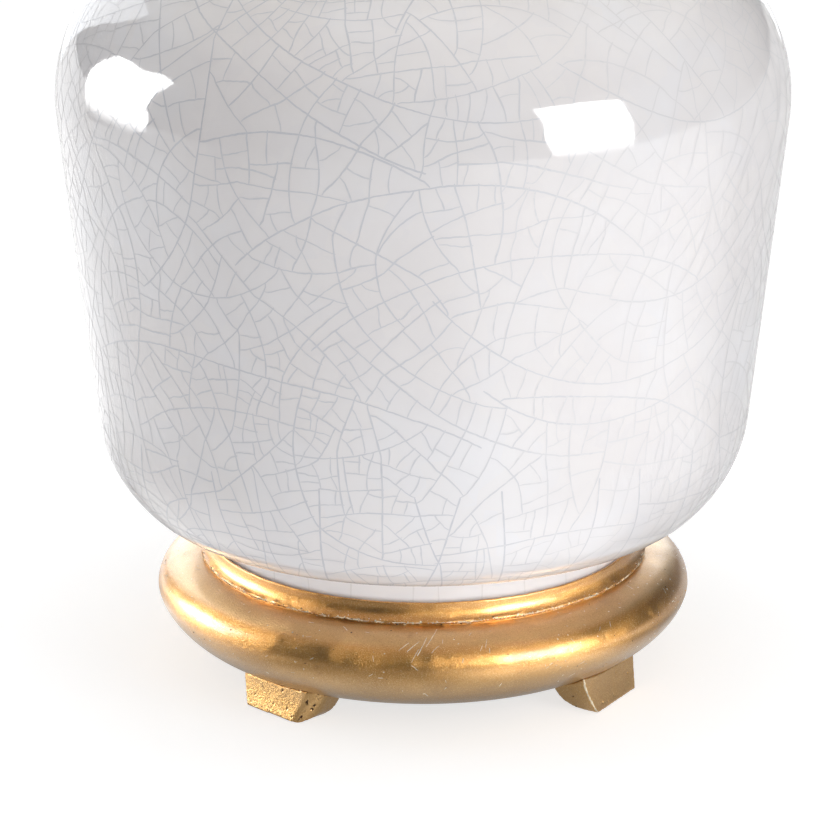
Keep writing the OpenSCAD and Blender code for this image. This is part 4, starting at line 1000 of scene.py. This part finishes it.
def make_floor():
    """White, with the object's shadow, to the camera. What gloss sees of it is painted light: painted pools
    of light towards the lamps, a painted brighter rear, and painted shade right under the stand.
    """
    p = Paint("floor_white", (0.86, 0.86, 0.86), 0.9)
    glow = p.node("ShaderNodeEmission", Color=(1, 1, 1, 1), Strength=FLOOR_GLOW)
    lit = p.node("ShaderNodeBsdfDiffuse", Color=(0.5, 0.5, 0.5, 1))
    both = p.node("ShaderNodeAddShader")
    p.feed(both.inputs[0], lit.outputs[0])
    p.feed(both.inputs[1], glow.outputs[0])
    path = p.node("ShaderNodeLightPath").outputs
    seen = p.pick(path["Is Camera Ray"], p.shader.outputs[0], both.outputs[0])

    def vector(operation, a, b, output=0):
        made = p.node("ShaderNodeVectorMath")
        made.operation = operation
        p.feed(made.inputs[0], a)
        if b is not None:
            p.feed(made.inputs[1], b)
        return made.outputs[output]
    way, reach = vector("NORMALIZE", p.place, None), vector("LENGTH", p.place, None, 1)

    def lobe(toward, low, high, level):
        return p.ramp(vector("DOT_PRODUCT", way, toward, 1), low, high, 0.0, level)
    # Painted pools of light that gloss sees on the floor: tight cores and wide lobes towards each lamp, and a
    # brighter rear.
    close = p.ramp(reach, 0.17, 0.30, 1.0, 0.0)
    cores = p.math("ADD", lobe(RIGHT_CORE, 0.84, 0.985, 1.3), lobe(LEFT_CORE, 0.78, 0.99, 1.0))
    wide = p.math("ADD", lobe(RIGHT_LAMP, 0.55, 0.95, 1.6), lobe(LEFT_LAMP, 0.55, 0.95, 0.9))
    wide = p.math("MULTIPLY", wide, p.ramp(reach, 0.16, 0.36))
    rear = p.ramp(vector("DOT_PRODUCT", way, (0, 1, 0), 1), -0.2, 0.9, 0.38, 0.80)
    pools = p.math("ADD", p.math("ADD", p.math("MULTIPLY", cores, close), wide), rear)
    # Painted shade: dim right under the stand, rising to the painted pools from 80 mm out.
    painted_shade_near = p.ramp(reach, 0.080, 0.100, 0.35, 0.72)
    level = p.node("ShaderNodeMix", Factor=p.ramp(reach, 0.102, 0.13), A=painted_shade_near, B=pools).outputs[0]
    gloss = p.node("ShaderNodeEmission", Color=(1, 1, 1, 1), Strength=level)
    shown = p.math("ADD", path["Is Glossy Ray"], path["Is Transmission Ray"], True)
    p.feed(p.out.inputs["Surface"], p.pick(shown, seen, gloss.outputs[0]))
    bpy.ops.mesh.primitive_plane_add(size=60, location=(0, 0, -0.0005))
    floor = bpy.context.object
    floor.name = "floor"
    floor.data.materials.append(p.mat)


def make_world():
    """White to the camera, a plain soft level to the object. Gloss shows the white rear and ceiling
    of the room, and its dim sides."""
    world = bpy.data.worlds.new("studio")
    bpy.context.scene.world = world
    world.use_nodes = True
    t = Nodes(world.node_tree)

    def background(strength, color=(1, 1, 1)):
        return t.node("ShaderNodeBackground", Color=(*color, 1), Strength=strength).outputs[0]
    place = t.node("ShaderNodeTexCoord").outputs["Generated"]
    parts = t.node("ShaderNodeSeparateXYZ", Vector=place).outputs
    behind = t.math("MULTIPLY", t.ramp(parts["Y"], 0.80, 0.93, ROOM_DIM, 1.0),
                    t.ramp(parts["X"], 0.15, 0.40, 1.0, ROOM_DIM))
    above = t.ramp(parts["Z"], 0.85, 0.99, ROOM_DIM, ROOM_TOP)
    room = background(t.math("MAXIMUM", behind, above), (0.98, 0.99, 1.0))
    path = t.node("ShaderNodeLightPath").outputs
    shown = t.math("ADD", path["Is Glossy Ray"], path["Is Transmission Ray"])
    lit = t.pick(shown, background(ROOM_LIGHT), room)
    t.node("ShaderNodeOutputWorld", Surface=t.pick(path["Is Camera Ray"], lit, background(1.0)))


def softbox(name, place, aim, size, power):
    """A lamp that lights. What gloss shows of it is its reflector."""
    light = bpy.data.lights.new(name, "AREA")
    light.shape, light.size, light.size_y = "RECTANGLE", size[0], size[1]
    light.energy = power
    obj = bpy.data.objects.new(name, light)
    obj.location = place
    obj.rotation_euler = (Vector(aim) - Vector(place)).to_track_quat("-Z", "Y").to_euler()
    bpy.context.scene.collection.objects.link(obj)
    obj.visible_glossy = False


def reflector(name, corners, level, color=(1, 1, 1), fade=(0.0, 0.1)):
    """A bright sheet that only gloss sees, fading out between two heights in metres."""
    p = Paint(name, color)
    parts = p.node("ShaderNodeSeparateXYZ", Vector=p.place)
    strength = p.ramp(parts.outputs["Z"], fade[0], fade[1], 0.04 * level, level)
    glow = p.node("ShaderNodeEmission", Color=(*color, 1), Strength=strength)
    p.feed(p.out.inputs["Surface"], glow.outputs[0])
    middle = sum((Vector(c) for c in corners), Vector()) / len(corners)
    faces = [(0, n + 1, (n + 1) % len(corners) + 1) for n in range(len(corners))]
    sheet = mesh_object(name, [tuple(middle)] + corners, faces, sharp=0)
    sheet.data.materials.append(p.mat)
    sheet.visible_camera = sheet.visible_diffuse = sheet.visible_shadow = False


def make_camera():
    """Fitted to the photograph's outlines: a long lens, 18.6 degrees above the level."""
    lens = bpy.data.cameras.new("camera")
    lens.sensor_width, lens.lens = 36.0, 179.64
    lens.shift_x = -3.12 / 840
    camera = bpy.data.objects.new("camera", lens)
    camera.location = (0, -1.5, 0.5966)
    camera.rotation_euler = (math.radians(90 - 18.585), 0, 0)
    bpy.context.scene.collection.objects.link(camera)
    bpy.context.scene.camera = camera


make_camera()
make_jar()
make_crackle()
make_stand()
make_scratches()
make_crumbs()
make_foot("foot_front_left", 7.0, False)
make_foot("foot_front_right", 1.6, True)
make_foot("foot_rear_right", 1.5, False)
make_foot("foot_rear_left", 1.8, True)
make_shade()
make_bulb_cap()
dress_cad_nodes()
make_floor()
make_world()
softbox("lamp_left", (-1.33, 0.34, 0.33), (-0.10, -0.08, 0.24), (0.8, 0.5), 3.0)
softbox("lamp_right", (1.06, -0.89, 0.53), (0.05, -0.12, 0.24), (0.7, 0.7), 5.9)
softbox("lamp_above", (0, 0, 2.2), (0, 0, 0), (1.5, 1.5), 20)
softbox("lamp_front", (0.4, -2.0, 0.25), (0, 0, 0.1), (1.2, 0.3), 5.6)
softbox("lamp_table", (0.04, -0.20, 0.003), (0.04, -0.19, 0.2), (0.3, 0.1), 0.06)
reflector("reflector_left", LEFT_BOX, 13, fade=(0.03, 0.25))
reflector("reflector_right", RIGHT_BOX, 16, fade=(0.1, 0.45))
reflector("reflector_rear", REAR_WALL, 2.2, (0.93, 0.96, 1.0), (-0.2, 0.0))
bpy.context.scene.view_settings.view_transform = "Standard"

bpy.context.view_layer.update()
